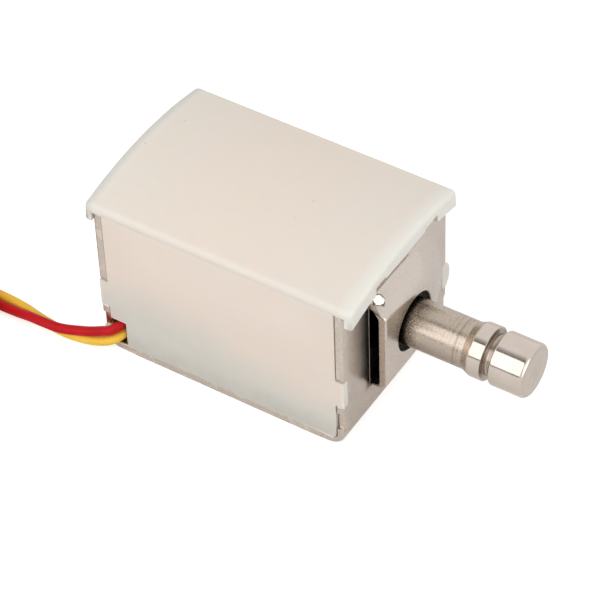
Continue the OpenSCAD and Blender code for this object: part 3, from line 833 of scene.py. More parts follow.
def finish_mesh(thing):
    """Replaces an object's mesh by its evaluated one and drops the modifiers."""
    graph = bpy.context.evaluated_depsgraph_get()
    graph.update()
    mesh = bpy.data.meshes.new_from_object(thing.evaluated_get(graph))
    thing.modifiers.clear()
    thing.data = mesh
    mesh.name = thing.name


def combine(thing, tools, operation):
    """Cuts or joins solids with a thing, then removes them."""
    for tool in tools:
        step = thing.modifiers.new(tool.name, "BOOLEAN")
        step.object = tool
        step.operation = operation
        step.solver = "EXACT"
    finish_mesh(thing)
    for tool in tools:
        bpy.data.objects.remove(tool)


def shade(thing, angle):
    """Smooth shading that keeps edges sharper than the angle."""
    for polygon in thing.data.polygons:
        polygon.use_smooth = True
    thing.data.set_sharp_from_angle(angle=math.radians(angle))


print("solid helpers ready")

# %% [markdown]
# Holes are cut with booleans: one with a rolled-in rim for the bolt in the hood's face, one for
# the rivet of the fixed core in the rear plate, and two tapped ones in the base. The tapped holes
# sit in drawn collars. Their cutter has a real helical thread, which is a radius that rises and
# falls along the hole and turns with the angle.

# %% Holes in the frame
face_x = plate_x + hood_rise
hole_back_x = 12
roll_r = 0.4
roll_lift = 0.05
roll_turns = (0, 0.31, 0.62, 0.94)
flare_x = 0.174
flare_r = 0.275
rivet_r = 2.52
screw_x = 10
tap_r = 1.25
tap_low_z = -0.5
tap_high_z = 2.5
thread_pitch = 0.5
thread_depth = 0.27
thread_end_z = 2.4
steps_per_pitch = 8


def thread_radius(along, angle):
    """Radius of a tapped thread, with straight flanks that turn once per pitch."""
    phase = (along / thread_pitch + angle / math.tau) % 1
    return tap_r + thread_depth * (1 - abs(2 * phase - 1)) if along < thread_end_z else tap_r


frame_sheet = add_object("frame_sheet", sheet_mesh)
with editing(sheet_mesh) as work:
    bmesh.ops.recalc_face_normals(work, faces=work.faces)
roll_start = face_x + roll_lift - roll_r
roll = [(roll_start + roll_r * math.sin(turn), hole_r + roll_r * (1 - math.cos(turn)))
        for turn in roll_turns]
flare = (face_x + flare_x, roll[-1][1] + flare_r)
hole_rings = [(hole_back_x, 0), (hole_back_x, hole_r), *roll, flare,
              (face_x + 1, flare[1]), (face_x + 1, 0)]
bolt_hole = revolve("bolt_hole", hole_rings, base=(0, 0, axis_z))
rivet_rings = [(-plate_x - 1, 0), (-plate_x - 1, rivet_r),
               (-plate_x + 3, rivet_r), (-plate_x + 3, 0)]
rivet_hole = revolve("rivet_hole", rivet_rings, base=(0, 0, axis_z))
collar_rings = [(0.6, 0), (0.6, 2.05), (1.75, 2.05), (1.9, 1.9), (1.9, 0)]
tap_steps = np.arange(tap_low_z, tap_high_z - 0.05, thread_pitch / steps_per_pitch)
tap_rings = [(tap_low_z, 0), *((z, tap_r) for z in tap_steps), (tap_high_z, tap_r), (tap_high_z, 0)]
screw_places = [(-screw_x, 0, 0), (screw_x, 0, 0)]
collars = [revolve("collar", collar_rings, 48, place, "Z") for place in screw_places]
taps = [revolve("tap", tap_rings, 40, place, "Z", thread_radius) for place in screw_places]
combine(frame_sheet, collars, "UNION")
combine(frame_sheet, [bolt_hole, rivet_hole] + taps, "DIFFERENCE")
shade(frame_sheet, 32)
print("frame_sheet:", len(frame_sheet.data.polygons), "faces")

# %% [markdown]
# The steel is nickel plated after pressing. The plating is satin and slightly warm, with a fine
# speckled grain, faint clouds where the sheet was handled, and length-wise shear marks on the
# cut edges. The grain goes into both the roughness and a very shallow relief, so it sparkles
# where light grazes it instead of looking painted on. Painted shade darkens the plate along the
# slot and in the crease above the hood, with a painted reflection of the dark slot beside it,
# and dark specks ring a small dent in the hood's corner, which is tilted so that it catches
# the light.

# %% Plated sheet
dent_place = (plate_x + 0.86, -5.79, hood_high_z - 0.3)
dent_slope_x = -0.68
dent_slope_y = 0.644


def nickel_sheet():
    """Satin nickel on pressed steel with marks of lancing and pressing, and painted shade by slot
    and crease.
    """
    finish = Finish("nickel_sheet", metallic=1.0)
    x, y, z = (finish.axis(name) for name in "XYZ")
    grain = finish.noise(5200, 4, 0.6)
    cloud = finish.noise(170, 3)
    specks = finish.fade(finish.cells(900), 0.05, 0.16, 1, 0)
    speck = finish.times(specks, finish.fade(finish.noise(420, 2), 0.56, 0.62), 0.5)
    plate = finish.band(x, plate_x - 0.1, plate_x + 0.08, 0.02)
    beside = finish.times(plate, finish.fade(y, -11.5, -9),
                          finish.band(z, hood_low_z, hood_high_z, 1))
    smeared = finish.math("ADD", y, finish.fade(grain, 0.3, 0.7, -0.35, 0.35))
    # painted shade and a painted reflection of the hood's dark mouth, darkest at the slot's edge
    slot_shade = finish.times(plate, finish.fade(smeared, -8.5, -7.2, 0, 0.9),
                         finish.band(z, hood_low_z, hood_high_z, 0.7),
                         finish.fade(y, slot_left_y - 0.05, slot_left_y, 1, 0))
    # painted shade: a dark line in the crease above the hood, under the cover's lip
    crease_shade = finish.times(finish.fade(x, plate_x - 0.1, plate_x),
                          finish.band(y, -5.4, 3.3, 0.3),
                          finish.band(z, hood_high_z + 0.15, hood_high_z + 0.39, 0.05),
                          finish.fade(grain, 0.3, 0.6, 0.35, 0.8))
    tone = finish.mix(finish.fade(cloud, 0.3, 0.7), (0.618, 0.545, 0.484), (0.663, 0.588, 0.525))
    tone = finish.mix(finish.fade(grain, 0.3, 0.75, 0, 0.35), tone, (0.51, 0.44, 0.38))
    tone = finish.mix(speck, tone, (0.26, 0.21, 0.175))
    edge = finish.fade(finish.math("ABSOLUTE", y), half_w - 0.1, half_w - 0.03)
    nicks = finish.times(edge, finish.fade(finish.noise(700, 3), 0.52, 0.62, 0, 0.35))
    tone = finish.mix(nicks, tone, (0.86, 0.80, 0.73))
    tone = finish.mix(crease_shade, tone, (0.16, 0.10, 0.055))
    tone = finish.mix(slot_shade, tone, (0.06, 0.047, 0.036))
    # dark specks in a ring round the dent
    dent_specks = finish.times(finish.band(finish.distance(dent_place), 0.75, 1.15, 0.1),
                         finish.fade(finish.noise(1900, 2), 0.5, 0.6),
                         finish.fade(y, -6.2, -5.4, 0.9, 0))
    tone = finish.mix(dent_specks, tone, (0.07, 0.04, 0.03))
    finish.set("Base Color", tone)
    rough = finish.fade(grain, 0.25, 0.75, 0.19, 0.3)
    rough = finish.math("ADD", rough, finish.fade(cloud, 0.3, 0.7, 0, 0.06))
    finish.set("Roughness", finish.times(rough, finish.fade(beside, 0, 1, 1, 1.3)))
    shear = finish.noise(1, 3, place=finish.stretch(240, 240, 5200))
    relief = finish.bump(finish.times(shear, edge), 0.02)
    ragged = finish.math("ADD", finish.distance(dent_place),
                         finish.fade(finish.noise(2300, 3), 0.3, 0.7, -0.15, 0.15))
    beyond_x = finish.math("SUBTRACT", x, dent_place[0])
    beyond_y = finish.math("SUBTRACT", y, dent_place[1])
    tilt = finish.math("ADD", finish.times(beyond_y, dent_slope_y),
                       finish.times(beyond_x, dent_slope_x))
    relief = finish.bump(finish.times(tilt, finish.fade(ragged, 0.75, 1.0, 1, 0)), 1.0, relief)
    finish.bump(grain, 0.0045, relief)
    return finish.material


frame_sheet.data.materials.clear()
frame_sheet.data.materials.append(nickel_sheet())
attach(frame_sheet, "lock_body")
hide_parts("frame")
print("frame dressed")

# %% [markdown]
# The cover is a thin nylon moulding that clips over the frame with four tabs. Its solid is
# already right but for soft details, so a copy of it is merged, its flat faces are joined again,
# the ends of its roof are rounded and its front lip leans out a little. Other copies below get a
# small bevel on all sharp edges. Weighted normals keep the flat faces flat in the shading.

# %% Copies with rounded edges
roof_side_y = 13.9 * mm
roof_low_z = 24.5 * mm
roof_edge_r = 0.7 * mm
lip_x = 20 * mm
lip_low_z = 24 * mm
lip_lean = 0.4 * mm
lip_askew = 0.007
lip_middle_y = 5.35 * mm
lip_middle_drop = 2.4 * mm
merge_gap = 0.002 * mm
flat_angle = math.radians(0.5)
sharp_angle = math.radians(30)


def soft_cover_edges(work):
    """Rounds the outline of the roof's two ends, and leans the front lip out a little askew."""
    end_x = max(vertex.co.x for vertex in work.verts)
    middle_z = max(vertex.co.z for vertex in work.verts) - lip_middle_drop
    rim = []
    for edge in work.edges:
        at_end = all(abs(abs(vertex.co.x) - end_x) < 0.01 * mm for vertex in edge.verts)
        high = max(vertex.co.z for vertex in edge.verts) > roof_low_z
        turned = len(edge.link_faces) == 2 and edge.calc_face_angle() > 1
        upper = any(face.normal.z > 0.3 for face in edge.link_faces)
        outer = any(abs(face.normal.y) > 0.9 and abs(face.calc_center_median().y) > roof_side_y
                    for face in edge.link_faces)
        if at_end and high and turned and (upper or outer):
            rim.append(edge)
    bmesh.ops.bevel(work, geom=rim, offset=roof_edge_r, segments=6, profile=0.5, affect="EDGES",
                    clamp_overlap=False)
    for vertex in work.verts:
        if vertex.co.x > lip_x and vertex.co.z > lip_low_z:
            vertex.co.x += lip_lean - lip_askew * vertex.co.y
            if abs(vertex.co.y) < lip_middle_y:
                vertex.co.z = max(vertex.co.z, middle_z)
    bmesh.ops.remove_doubles(work, verts=work.verts, dist=merge_gap)


def rounded_copy(name, node, radius, segments=3, first=None):
    """A merged copy of a CAD node, with its sharp edges rounded where a radius is given."""
    mesh = cad_nodes[node].data.copy()
    mesh.name = name
    mesh.materials.clear()
    with editing(mesh) as work:
        bmesh.ops.remove_doubles(work, verts=work.verts, dist=merge_gap)
        bmesh.ops.dissolve_limit(work, angle_limit=flat_angle, verts=work.verts, edges=work.edges)
        if first:
            first(work)
    thing = add_object(name, mesh)
    if radius:
        bevel = thing.modifiers.new("round_edges", "BEVEL")
        bevel.width = radius * mm
        bevel.segments = segments
        bevel.limit_method = "ANGLE"
        bevel.angle_limit = sharp_angle
        finish_mesh(thing)
    shade(thing, 40)
    weigh = thing.modifiers.new("flat_normals", "WEIGHTED_NORMAL")
    weigh.keep_sharp = True
    finish_mesh(thing)
    return thing


cover_shell = rounded_copy("cover_shell", "cover", 0, first=soft_cover_edges)
print("cover_shell:", len(cover_shell.data.polygons), "faces")

# %% [markdown]
# The nylon is milky, so the brown coil inside tints it: warm and pinkish over the coil, cooler
# and greyer along the lower edge and the lips, where there is nothing behind it. The tint is
# painted by place on the object, and a little subsurface light softens edges and shadows. Near
# the table the wall is painted darker still, as painted shade.

# %% Milky nylon


def milky_nylon():
    """Translucent cover plastic with the warm tint of the coil behind it and white, solid lips."""
    finish = Finish("milky_nylon", subsurface_weight=0.35, subsurface_scale=0.7 * mm)
    finish.set("Subsurface Radius", (1.0, 0.75, 0.55))
    x, y, z = (finish.axis(name) for name in "XYZ")
    away = finish.math("ABSOLUTE", x)
    aside = finish.math("ABSOLUTE", y)
    drift = finish.fade(finish.noise(90, 3), 0.3, 0.7, -0.9, 0.9)
    level = finish.math("ADD", finish.math("ADD", z, drift), finish.fade(x, -16, 18, -2.0, 3))
    tone = finish.mix(finish.fade(level, 5.5, 14.5), (0.655, 0.635, 0.575), (0.80, 0.695, 0.607))
    # painted shade: the wall darkens towards the table
    tone = finish.mix(finish.fade(z, 1.0, 6.0, 0.52, 0), tone, (0.46, 0.45, 0.405))
    warm = finish.times(finish.fade(z, 12.5, 21, 0, 0.5), finish.fade(away, 12, 18.5, 1, 0))
    tone = finish.mix(warm, tone, (0.87, 0.76, 0.67))
    roof = finish.fade(z, 24.9, 25.6)
    pale = finish.fade(finish.math("ADD", away, drift), 5, 17)
    tone = finish.mix(roof, tone, finish.mix(pale, (0.815, 0.72, 0.635), (0.80, 0.73, 0.65)))
    mottle = finish.fade(finish.noise(420, 4, 0.6), 0.3, 0.75, 0, 0.25)
    tone = finish.mix(mottle, tone, (0.77, 0.71, 0.645))
    high = finish.fade(z, 21.5, 22.2)
    lips = finish.times(finish.fade(away, 18.6, 20.9), high)
    rims = finish.times(finish.fade(aside, 12.6, 14.0, 0, 0.25), finish.fade(z, 24.3, 24.9))
    tabs = finish.times(finish.fade(away, 19.2, 20.4, 0, 0.8), finish.fade(z, 21.5, 22.2, 1, 0))
    white = finish.math("MAXIMUM", finish.math("MAXIMUM", lips, rims), tabs)
    solid = finish.mix(finish.fade(x, -20.6, -19), (0.67, 0.65, 0.605), (0.82, 0.80, 0.74))
    tone = finish.mix(white, tone, solid)
    speck = finish.fade(finish.cells(260), 0.02, 0.05, 0.55, 0)
    tone = finish.mix(speck, tone, (0.5, 0.43, 0.36))
    finish.set("Base Color", tone)
    grain = finish.noise(3200, 4, 0.6)
    finish.set("Roughness", finish.fade(grain, 0.3, 0.7, 0.38, 0.54))
    line = finish.math("ABSOLUTE", finish.math("SUBTRACT", finish.noise(70, 2, twist=0.6), 0.5))
    sparse = finish.fade(finish.noise(55, 2), 0.55, 0.62)
    scratch = finish.times(finish.fade(line, 0.0, 0.006, 1, 0), sparse)
    relief = finish.bump(finish.noise(520, 3), 0.012)
    relief = finish.bump(grain, 0.004, relief)
    finish.bump(scratch, -0.012, relief)
    return finish.material


cover_shell.data.materials.append(milky_nylon())
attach(cover_shell, "lock_body")
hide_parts("cover")
print("cover dressed")

# %% [markdown]
# The bolt is turned from one steel bar: a plain shaft, a short cone, a ring, a keeper groove
# and a chamfered head, with a blind bore for the spring in its tail. A revolve with rounded
# corners is the right tool. Each corner of the outline carries its own radius, and two extra
# points near the ends of long stretches keep the shading of the cylinders straight.

# %% Bolt outline
bolt_outline = [
    (10, 0, 0), (10, 2.2, 0.1), (1, 2.2, 0.1), (1, 3.5, 0.3), (20.0, 3.5, 0.06),
    (20.0, 2, 0.05), (20.6, 2, 0.05), (20.6, 3.5, 0.06), (32.2, 3.5, 0.25), (33.4, 4, 0.25),
    (35.3, 4, 0.06), (35.3, 3.1, 0.1), (36.5, 3.1, 0.1), (36.5, 4, 0.35), (41.8, 4, 0.55),
    (41.8, 0, 0),
]


def rounded_outline(outline, steps=6, guard=0.06):
    """The outline with an arc of its own radius at each corner and points close to the arcs."""
    spots = [Vector(corner[:2]) for corner in outline]
    made = [spots[0]]
    for n in range(1, len(spots) - 1):
        before = (spots[n - 1] - spots[n]).normalized()
        after = (spots[n + 1] - spots[n]).normalized()
        half = before.angle(after) / 2
        reach = outline[n][2] / math.tan(half)
        centre = spots[n] + (before + after).normalized() * outline[n][2] / math.sin(half)
        start = spots[n] + before * reach
        end = spots[n] + after * reach
        if (made[-1] - start).length > 2.5 * guard:
            made += [made[-1] + (start - made[-1]).normalized() * guard,
                     start + (made[-1] - start).normalized() * guard]
        for step in range(steps + 1):
            spoke = (start - centre).lerp(end - centre, step / steps)
            made.append(centre + spoke.normalized() * outline[n][2])
    return [tuple(spot) for spot in made + [spots[-1]]]


turned_bolt = revolve("turned_bolt", rounded_outline(bolt_outline), 160, (0, 0, axis_z))
shade(turned_bolt, 50)
print("turned_bolt:", len(turned_bolt.data.polygons), "faces")

# %% [markdown]
# Turning leaves fine rings. The shaft was ground to a matt, brownish grey, while the ring and the
# head were polished by use, so tone and roughness depend on the place along the bolt. Painted
# shade darkens the shaft where it enters the hood and along its underside. The groove is darker,
# and the flat end shows the concentric marks of the lathe and a thin ring of painted shade at its
# edge.

# %% Turned steel
lathe_pitch = 0.3


def turned_steel():
    """Ground shaft, polished head and ring, and lathe marks on the end and the cone."""
    finish = Finish("turned_steel", metallic=1.0)
    x, y, z = (finish.axis(name) for name in "XYZ")
    above = finish.math("SUBTRACT", z, axis_z)
    radius = finish.math("SQRT", finish.math("ADD", finish.times(y, y), finish.times(above, above)))
    polished = finish.fade(x, 33.1, 33.5)
    ground = finish.math("SUBTRACT", 1.0, polished)
    cone = finish.band(x, 32.15, 33.35, 0.08)
    groove = finish.times(finish.band(x, 35.25, 36.55, 0.03), finish.fade(radius, 3.8, 3.95, 1, 0))
    end = finish.fade(x, 41.6, 41.75)
    grain = finish.noise(4600, 4, 0.65)
    rings = finish.noise(1, 2, 0.6, place=finish.stretch(2500, 45, 45))
    marks = finish.noise(1, 3, 0.6, place=finish.stretch(4200, 420, 420))
    cloud = finish.noise(210, 3)
    dull = finish.mix(finish.fade(grain, 0.3, 0.7), (0.425, 0.355, 0.288), (0.57, 0.488, 0.408))
    # painted shade: the lower side of the shaft is darker
    dull = finish.mix(finish.fade(above, -3.2, 1.6, 0.8, 0), dull, (0.30, 0.235, 0.185))
    # painted shade: the shaft darkens where it enters the hood, for the hood's shadow and the dark
    # hole it mirrors
    hood_shade_x = finish.math("ADD", x, finish.fade(grain, 0.3, 0.7, -0.6, 0.6))
    dull = finish.mix(finish.fade(hood_shade_x, 22.7, 25.7, 0.93, 0), dull, (0.045, 0.034, 0.026))
    bright = finish.mix(finish.fade(cloud, 0.3, 0.7), (0.60, 0.525, 0.46), (0.65, 0.57, 0.505))
    turned = finish.times(finish.fade(x, 28.3, 30.5), ground)
    cuts = finish.times(turned, finish.fade(rings, 0.42, 0.5, 0.6, 0))
    dull = finish.mix(cuts, dull, (0.30, 0.245, 0.195))
    tone = finish.mix(polished, dull, bright)
    brown = finish.times(cone, finish.fade(rings, 0.3, 0.7, 0.25, 0.65))
    tone = finish.mix(brown, tone, (0.47, 0.385, 0.31))
    # the groove is darker, with streaks
    groove_dark = finish.times(groove, finish.fade(marks, 0.35, 0.65, 0.45, 0.95))
    tone = finish.mix(groove_dark, tone, (0.28, 0.22, 0.17))
    swirl = finish.noise(1, 2, place=finish.stretch(1, 700, 700), twist=2.5)
    swirl = finish.times(end, finish.fade(radius, 0.3, 2.2, 1, 0),
                         finish.fade(swirl, 0.45, 0.55, 0, 0.3))
    tone = finish.mix(finish.times(end, 0.6), tone, (0.56, 0.485, 0.42))
    tone = finish.mix(swirl, tone, (0.40, 0.34, 0.29))
    # painted shade: a thin dark ring where the flat end meets the chamfer
    rim = finish.times(finish.fade(x, 41.6, 41.7), finish.band(radius, 3.4, 3.5, 0.04), 0.45)
    tone = finish.mix(rim, tone, (0.33, 0.27, 0.22))
    finish.set("Base Color", tone)
    rough = finish.times(finish.fade(grain, 0.25, 0.75, 0.19, 0.3), ground)
    shine = finish.times(finish.fade(cloud, 0.3, 0.7, 0.08, 0.12), polished)
    spread = finish.times(finish.math("MAXIMUM", groove, end), 0.16)
    finish.set("Roughness", finish.math("ADD", finish.math("ADD", rough, shine), spread))
    wave = finish.math("SINE", finish.times(radius, math.tau / lathe_pitch))
    lathe = finish.times(wave, end, finish.fade(radius, 0.4, 2.8, 1, 0.2),
                         finish.fade(cloud, 0.3, 0.7, 0.4, 1))
    relief = finish.bump(finish.times(rings, finish.math("MAXIMUM", turned, groove)), 0.05)
    relief = finish.bump(finish.times(grain, finish.fade(ground, 0, 1, 0.1, 1)), 0.013, relief)
    finish.bump(lathe, 0.011, relief)
    return finish.material


turned_bolt.data.materials.append(turned_steel())
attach(turned_bolt, "bolt_body")
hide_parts("bolt")
print("bolt dressed")

# %% [markdown]
# Behind the hood a rubber washer stops the bolt quietly against a spring clip in a groove of
# the shaft. Only slivers of them show through the slot and round the bolt, but they keep those
# gaps dark. The washer is revolved with soft corners, and the clip is a rounded copy. Both have
# a plain mottled finish, so one function makes it, and later pieces use it too.

# %% Damper and clip


def reach_of(node):
    """(lowest x, highest x, inner radius, outer radius) of a round CAD node, in millimetres."""
    places = np.array([vertex.co for vertex in cad_nodes[node].data.vertices]) / mm
    radii = np.hypot(places[:, 1], places[:, 2] - axis_z)
    return places[:, 0].min(), places[:, 0].max(), radii.min(), radii.max()


def ring_piece(name, node, corner):
    """A ring revolved to a round CAD node's size, with rounded corners."""
    low, high, inner, outer = reach_of(node)
    loop = [(low, inner), (low, outer), (high, outer), (high, inner)]
    closed = [(*loop[0], 0)] + [(*spot, corner) for spot in loop[1:]] + [(*loop[0], 0)]
    made = revolve(name, rounded_outline(closed), 96, (0, 0, axis_z))
    with editing(made.data) as work:
        bmesh.ops.remove_doubles(work, verts=work.verts, dist=0.001 * mm)
        bmesh.ops.recalc_face_normals(work, faces=work.faces)
    shade(made, 50)
    return made


def mottled(name, spots, dark, light, grain, shine, relief, **values):
    """Two tones in spots, with a fine grain in the roughness and the relief.

    Spots holds the scale and roughness of a noise, and the two levels where the tones meet.
    """
    finish = Finish(name, **values)
    scale, roughness, low, high = spots
    share = finish.fade(finish.noise(scale, 4, roughness), low, high)
    finish.set("Base Color", finish.mix(share, dark, light))
    fine = finish.noise(grain, 3)
    finish.set("Roughness", finish.fade(fine, 0.3, 0.7, *shine))
    finish.bump(fine, relief)
    return finish.material


damper_rubber = mottled("damper_rubber", (700, 0.6, 0.35, 0.75), (0.016, 0.017, 0.019),
                        (0.05, 0.052, 0.056), 4000, (0.6, 0.8), 0.01)
black_steel = mottled("black_steel", (600, 0.65, 0.5, 0.75), (0.028, 0.027, 0.027),
                      (0.12, 0.1, 0.085), 3000, (0.35, 0.55), 0.004, metallic=0.8)
damper_ring = ring_piece("damper_ring", "damper_washer", 0.22)
damper_ring.data.materials.append(damper_rubber)
spring_clip = rounded_copy("spring_clip", "stop_clip", 0.06, 2)
spring_clip.data.materials.append(black_steel)
for piece, node, slot in ((damper_ring, "damper_washer", "damper_rubber"),
                          (spring_clip, "stop_clip", "clip_steel")):
    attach(piece, "bolt_body")
    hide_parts(node)
print("damper and clip dressed")

# %% [markdown]
# A spring and twisted strands follow a rule, so Geometry Nodes make them. Each tree has named
# inputs for its sizes, sweeps a round wire along curves and ends in Realize Instances and Set
# Material. Its inputs are set by identifier, and the result becomes a plain mesh.

# %% Tree helpers


def node_group(name, sizes):
    """A geometry tree with one number input for each named size, and the sockets of the inputs."""
    tree = bpy.data.node_groups.new(name, "GeometryNodeTree")
    for label, value in sizes.items():
        socket = tree.interface.new_socket(label, in_out="INPUT", socket_type="NodeSocketFloat")
        socket.default_value = value
    tree.interface.new_socket("Geometry", in_out="OUTPUT", socket_type="NodeSocketGeometry")
    return tree, tree.nodes.new("NodeGroupInput").outputs


def sweep_wire(tree, path, radius, sides, material):
    """Sweeps a path with a round wire, and ends the tree in Realize Instances and Set Material."""
    wire = add_node(tree, "GeometryNodeCurvePrimitiveCircle",
                    {"Resolution": sides, "Radius": radius})
    sweep = add_node(tree, "GeometryNodeCurveToMesh",
                     {"Curve": path, "Profile Curve": wire.outputs[0], "Fill Caps": True})
    solid = add_node(tree, "GeometryNodeRealizeInstances", {0: sweep.outputs[0]})
    paint = add_node(tree, "GeometryNodeSetMaterial",
                     {"Geometry": solid.outputs[0], "Material": material})
    add_node(tree, "NodeGroupOutput", {0: paint.outputs[0]})


def grow(name, tree, sizes):
    """Runs a tree on an empty mesh with its inputs set, and keeps the result as a plain mesh."""
    thing = add_object(name, bpy.data.meshes.new(name))
    step = thing.modifiers.new(name, "NODES")
    step.node_group = tree
    for item in tree.interface.items_tree:
        if item.in_out == "INPUT":
            step[item.identifier] = float(sizes[item.name])
    finish_mesh(thing)
    return thing


print("tree helpers ready")

# %% [markdown]
# The return spring sits in the bolt's bore and pushes on the fixed core. Its path is a Spiral
# curve with the spring's turns, radius and length. In the real lock the spring is squashed
# towards its fixed end as the bolt draws in; here it is made at one length.

# %% Return spring


def spring_tree(sizes, material):
    """A helix along Z swept with a round wire."""
    tree, given = node_group("coil_spring", sizes)
    helix = add_node(tree, "GeometryNodeCurveSpiral",
                     {"Resolution": 28, "Rotations": given["Turns"], "Height": given["Length"],
                      "Start Radius": given["Mean radius"], "End Radius": given["Mean radius"]})
    sweep_wire(tree, helix.outputs[0], given["Wire radius"], 10, material)
    return tree


def bright_steel(name, dark, light, low, high):
    """Drawn or tinned metal with fine streaks and a soft shine."""
    return mottled(name, (1600, 0.6, 0.3, 0.7), dark, light, 5000, (low, high), 0.003, metallic=1.0)


spring_low, spring_high = reach_of("return_spring")[:2]
spring_d = 3.9
wire_d = 0.4
spring_sizes = {"Turns": 12, "Mean radius": (spring_d - wire_d) / 2 * mm,
                "Length": (spring_high - spring_low - wire_d) * mm, "Wire radius": wire_d / 2 * mm}
spring_steel = bright_steel("spring_steel", (0.36, 0.35, 0.34), (0.5, 0.49, 0.48), 0.22, 0.34)
coil_spring = grow("coil_spring", spring_tree(spring_sizes, spring_steel), spring_sizes)
lay_down = Matrix.Rotation(math.pi / 2, 4, "Y")
spring_place = Vector((spring_low + wire_d / 2, 0, axis_z)) * mm
coil_spring.data.transform(Matrix.Translation(spring_place) @ lay_down)
shade(coil_spring, 60)
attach(coil_spring, "lock_body")
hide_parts("return_spring")
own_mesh(coil_spring)
print("coil_spring:", len(coil_spring.data.polygons), "faces")

# %% [markdown]
# The coil and the fixed core fill the space under the cover. The rivet head of the core shows
# at the back, and the bobbin, card, pins and solder can be glimpsed through the lead opening.
# Their solids are right as they are, so rounded copies or the solids themselves get a finish.

# %% Inner finishes


def moulded(name, dark, light, low, high, relief):
    """Moulded plastic or pressed board with a mottled tone and a fine relief."""
    return mottled(name, (420, 0.6, 0.3, 0.7), dark, light, 3600, (low, high), relief)


def wound(name, dark, light, pitch, depth):
    """Rings side by side along the coil, such as wire turns or wraps of tape."""
    finish = Finish(name, coat_weight=0.4, coat_roughness=0.2)
    wave = finish.math("SINE", finish.times(finish.axis("X"), math.tau / pitch))
    finish.set("Base Color", finish.mix(finish.fade(wave, -1, 1), dark, light))
    finish.set("Roughness", finish.fade(finish.noise(2600, 3), 0.3, 0.7, 0.3, 0.45))
    finish.bump(wave, depth)
    return finish.material


core_steel = bright_steel("core_steel", (0.40, 0.36, 0.32), (0.5, 0.45, 0.40), 0.3, 0.42)
brass = bright_steel("brass_sheet", (0.52, 0.33, 0.1), (0.66, 0.45, 0.16), 0.22, 0.36)
solder = bright_steel("solder_metal", (0.42, 0.42, 0.43), (0.56, 0.56, 0.57), 0.2, 0.3)
inner_finishes = {
    "core_shim": brass,
    "guide_tube": brass,
    "terminal_pins": brass,
    "solder_joints": solder,
    "bobbin": moulded("bobbin_plastic", (0.018, 0.018, 0.02), (0.04, 0.04, 0.044),
                      0.42, 0.6, 0.006),
    "insulating_card": moulded("card_board", (0.17, 0.075, 0.035), (0.26, 0.12, 0.06),
                               0.6, 0.8, 0.012),
    "winding": wound("enamelled_wire", (0.3, 0.08, 0.02), (0.55, 0.2, 0.07), 0.25, 0.06),
    "coil_tape": wound("yellow_tape", (0.5, 0.29, 0.08), (0.62, 0.4, 0.13), 4.0, 0.02),
}
for node, material in inner_finishes.items():
    cad_nodes[node].data.materials.clear()
    cad_nodes[node].data.materials.append(material)
riveted_core = rounded_copy("riveted_core", "fixed_core", 0.18)
riveted_core.data.materials.append(core_steel)
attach(riveted_core, "lock_body")
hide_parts("fixed_core")
print("inner pieces dressed:", len(inner_finishes) + 1)

# %% [markdown]
# The stored length of the leads is held by a small plastic tie, and each lead ends in a few
# millimetres of twisted, tinned strands. One strand bundle follows a rule, so Geometry Nodes
# make it: straight strands on a circle of points, twisted by turning each point about the
# bundle's axis in step with its height. Two copies are laid along the ends of the leads.

# %% Stripped ends and tie
tip_length = 5.0
tip_d = 0.8


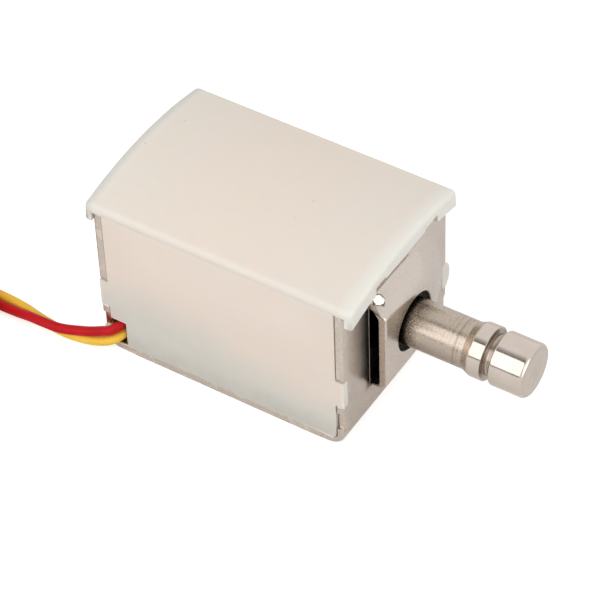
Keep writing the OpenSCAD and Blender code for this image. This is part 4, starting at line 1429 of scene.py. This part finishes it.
def strand_tree(sizes, material):
    """Seven strands along Z, six of them wound round the middle one."""
    tree, given = node_group("stranded_tip", sizes)
    ring = add_node(tree, "GeometryNodeMeshCircle",
                    {"Vertices": 6, "Radius": given["Ring radius"]})
    line = add_node(tree, "GeometryNodeCurvePrimitiveLine",
                    {"Direction": (0, 0, 1), "Length": given["Length"]}, mode="DIRECTION")
    strand = add_node(tree, "GeometryNodeResampleCurve", {"Curve": line.outputs[0], "Count": 24})
    outer = add_node(tree, "GeometryNodeInstanceOnPoints",
                     {"Points": ring.outputs[0], "Instance": strand.outputs[0]})
    loose = add_node(tree, "GeometryNodeRealizeInstances", {0: outer.outputs[0]})
    whole = add_node(tree, "GeometryNodeJoinGeometry", {0: loose.outputs[0]})
    put(tree, whole.inputs[0], strand.outputs[0])
    spot = tree.nodes.new("GeometryNodeInputPosition").outputs[0]
    height = add_node(tree, "ShaderNodeSeparateXYZ", {0: spot}).outputs["Z"]
    angle = add_node(tree, "ShaderNodeMath", {0: height, 1: given["Twist per metre"]},
                     operation="MULTIPLY")
    turn = add_node(tree, "ShaderNodeVectorRotate", {"Vector": spot, "Angle": angle.outputs[0]},
                    rotation_type="Z_AXIS")
    twisted = add_node(tree, "GeometryNodeSetPosition",
                       {"Geometry": whole.outputs[0], "Position": turn.outputs[0]})
    sweep_wire(tree, twisted.outputs[0], given["Strand radius"], 8, material)
    return tree


def lay_tips(bundle):
    """Turns one upright bundle into two, laid along the ends of both leads."""
    work = bmesh.new()
    for tail in (red_tail, yellow_tail):
        ahead = Vector(tail[-1]) - Vector(tail[-2])
        ahead.z = 0
        turn = ahead.to_track_quat("Z", "Y").to_matrix().to_4x4()
        laid = bundle.data.copy()
        laid.transform(Matrix.Translation(Vector(tail[-1]) * mm) @ turn)
        work.from_mesh(laid)
    work.to_mesh(bundle.data)
    work.free()


strands_across = 3
strand_r = tip_d / (2 * strands_across)
tip_sizes = {"Ring radius": 2 * strand_r * mm, "Strand radius": strand_r * mm,
             "Length": tip_length * mm, "Twist per metre": 700.0}
tinned = bright_steel("tinned_copper", (0.46, 0.45, 0.44), (0.6, 0.59, 0.58), 0.2, 0.32)
stranded_tips = grow("stranded_tips", strand_tree(tip_sizes, tinned), tip_sizes)
lay_tips(stranded_tips)
shade(stranded_tips, 60)
wire_tie = rounded_copy("wire_tie", "coil_tie", 0.08, 2)
wire_tie.data.materials.append(
    moulded("tie_nylon", (0.62, 0.61, 0.58), (0.7, 0.69, 0.66), 0.35, 0.5, 0.004))
for piece, node, slot in ((stranded_tips, "lead_tips", "tinned_strands"),
                          (wire_tie, "coil_tie", "tie_plastic")):
    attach(piece, "lock_body")
    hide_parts(node)
print("stranded_tips:", len(stranded_tips.data.polygons), "faces")

# %% [markdown]
# The leads come last. Each is attached to the lock's body, and the imported leads and their coil
# are hidden.
# Each is about 0.2 m long, as is usual on such locks: some 25 mm of it shows in the picture
# and the rest is the coil beside the lock.

for cord, node, slot, route in ((red_cord, "red_lead", "red_insulation", red_route),
                                (yellow_cord, "yellow_lead", "yellow_insulation", yellow_route)):
    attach(cord, "lock_body")
    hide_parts(node, "lead_coil")
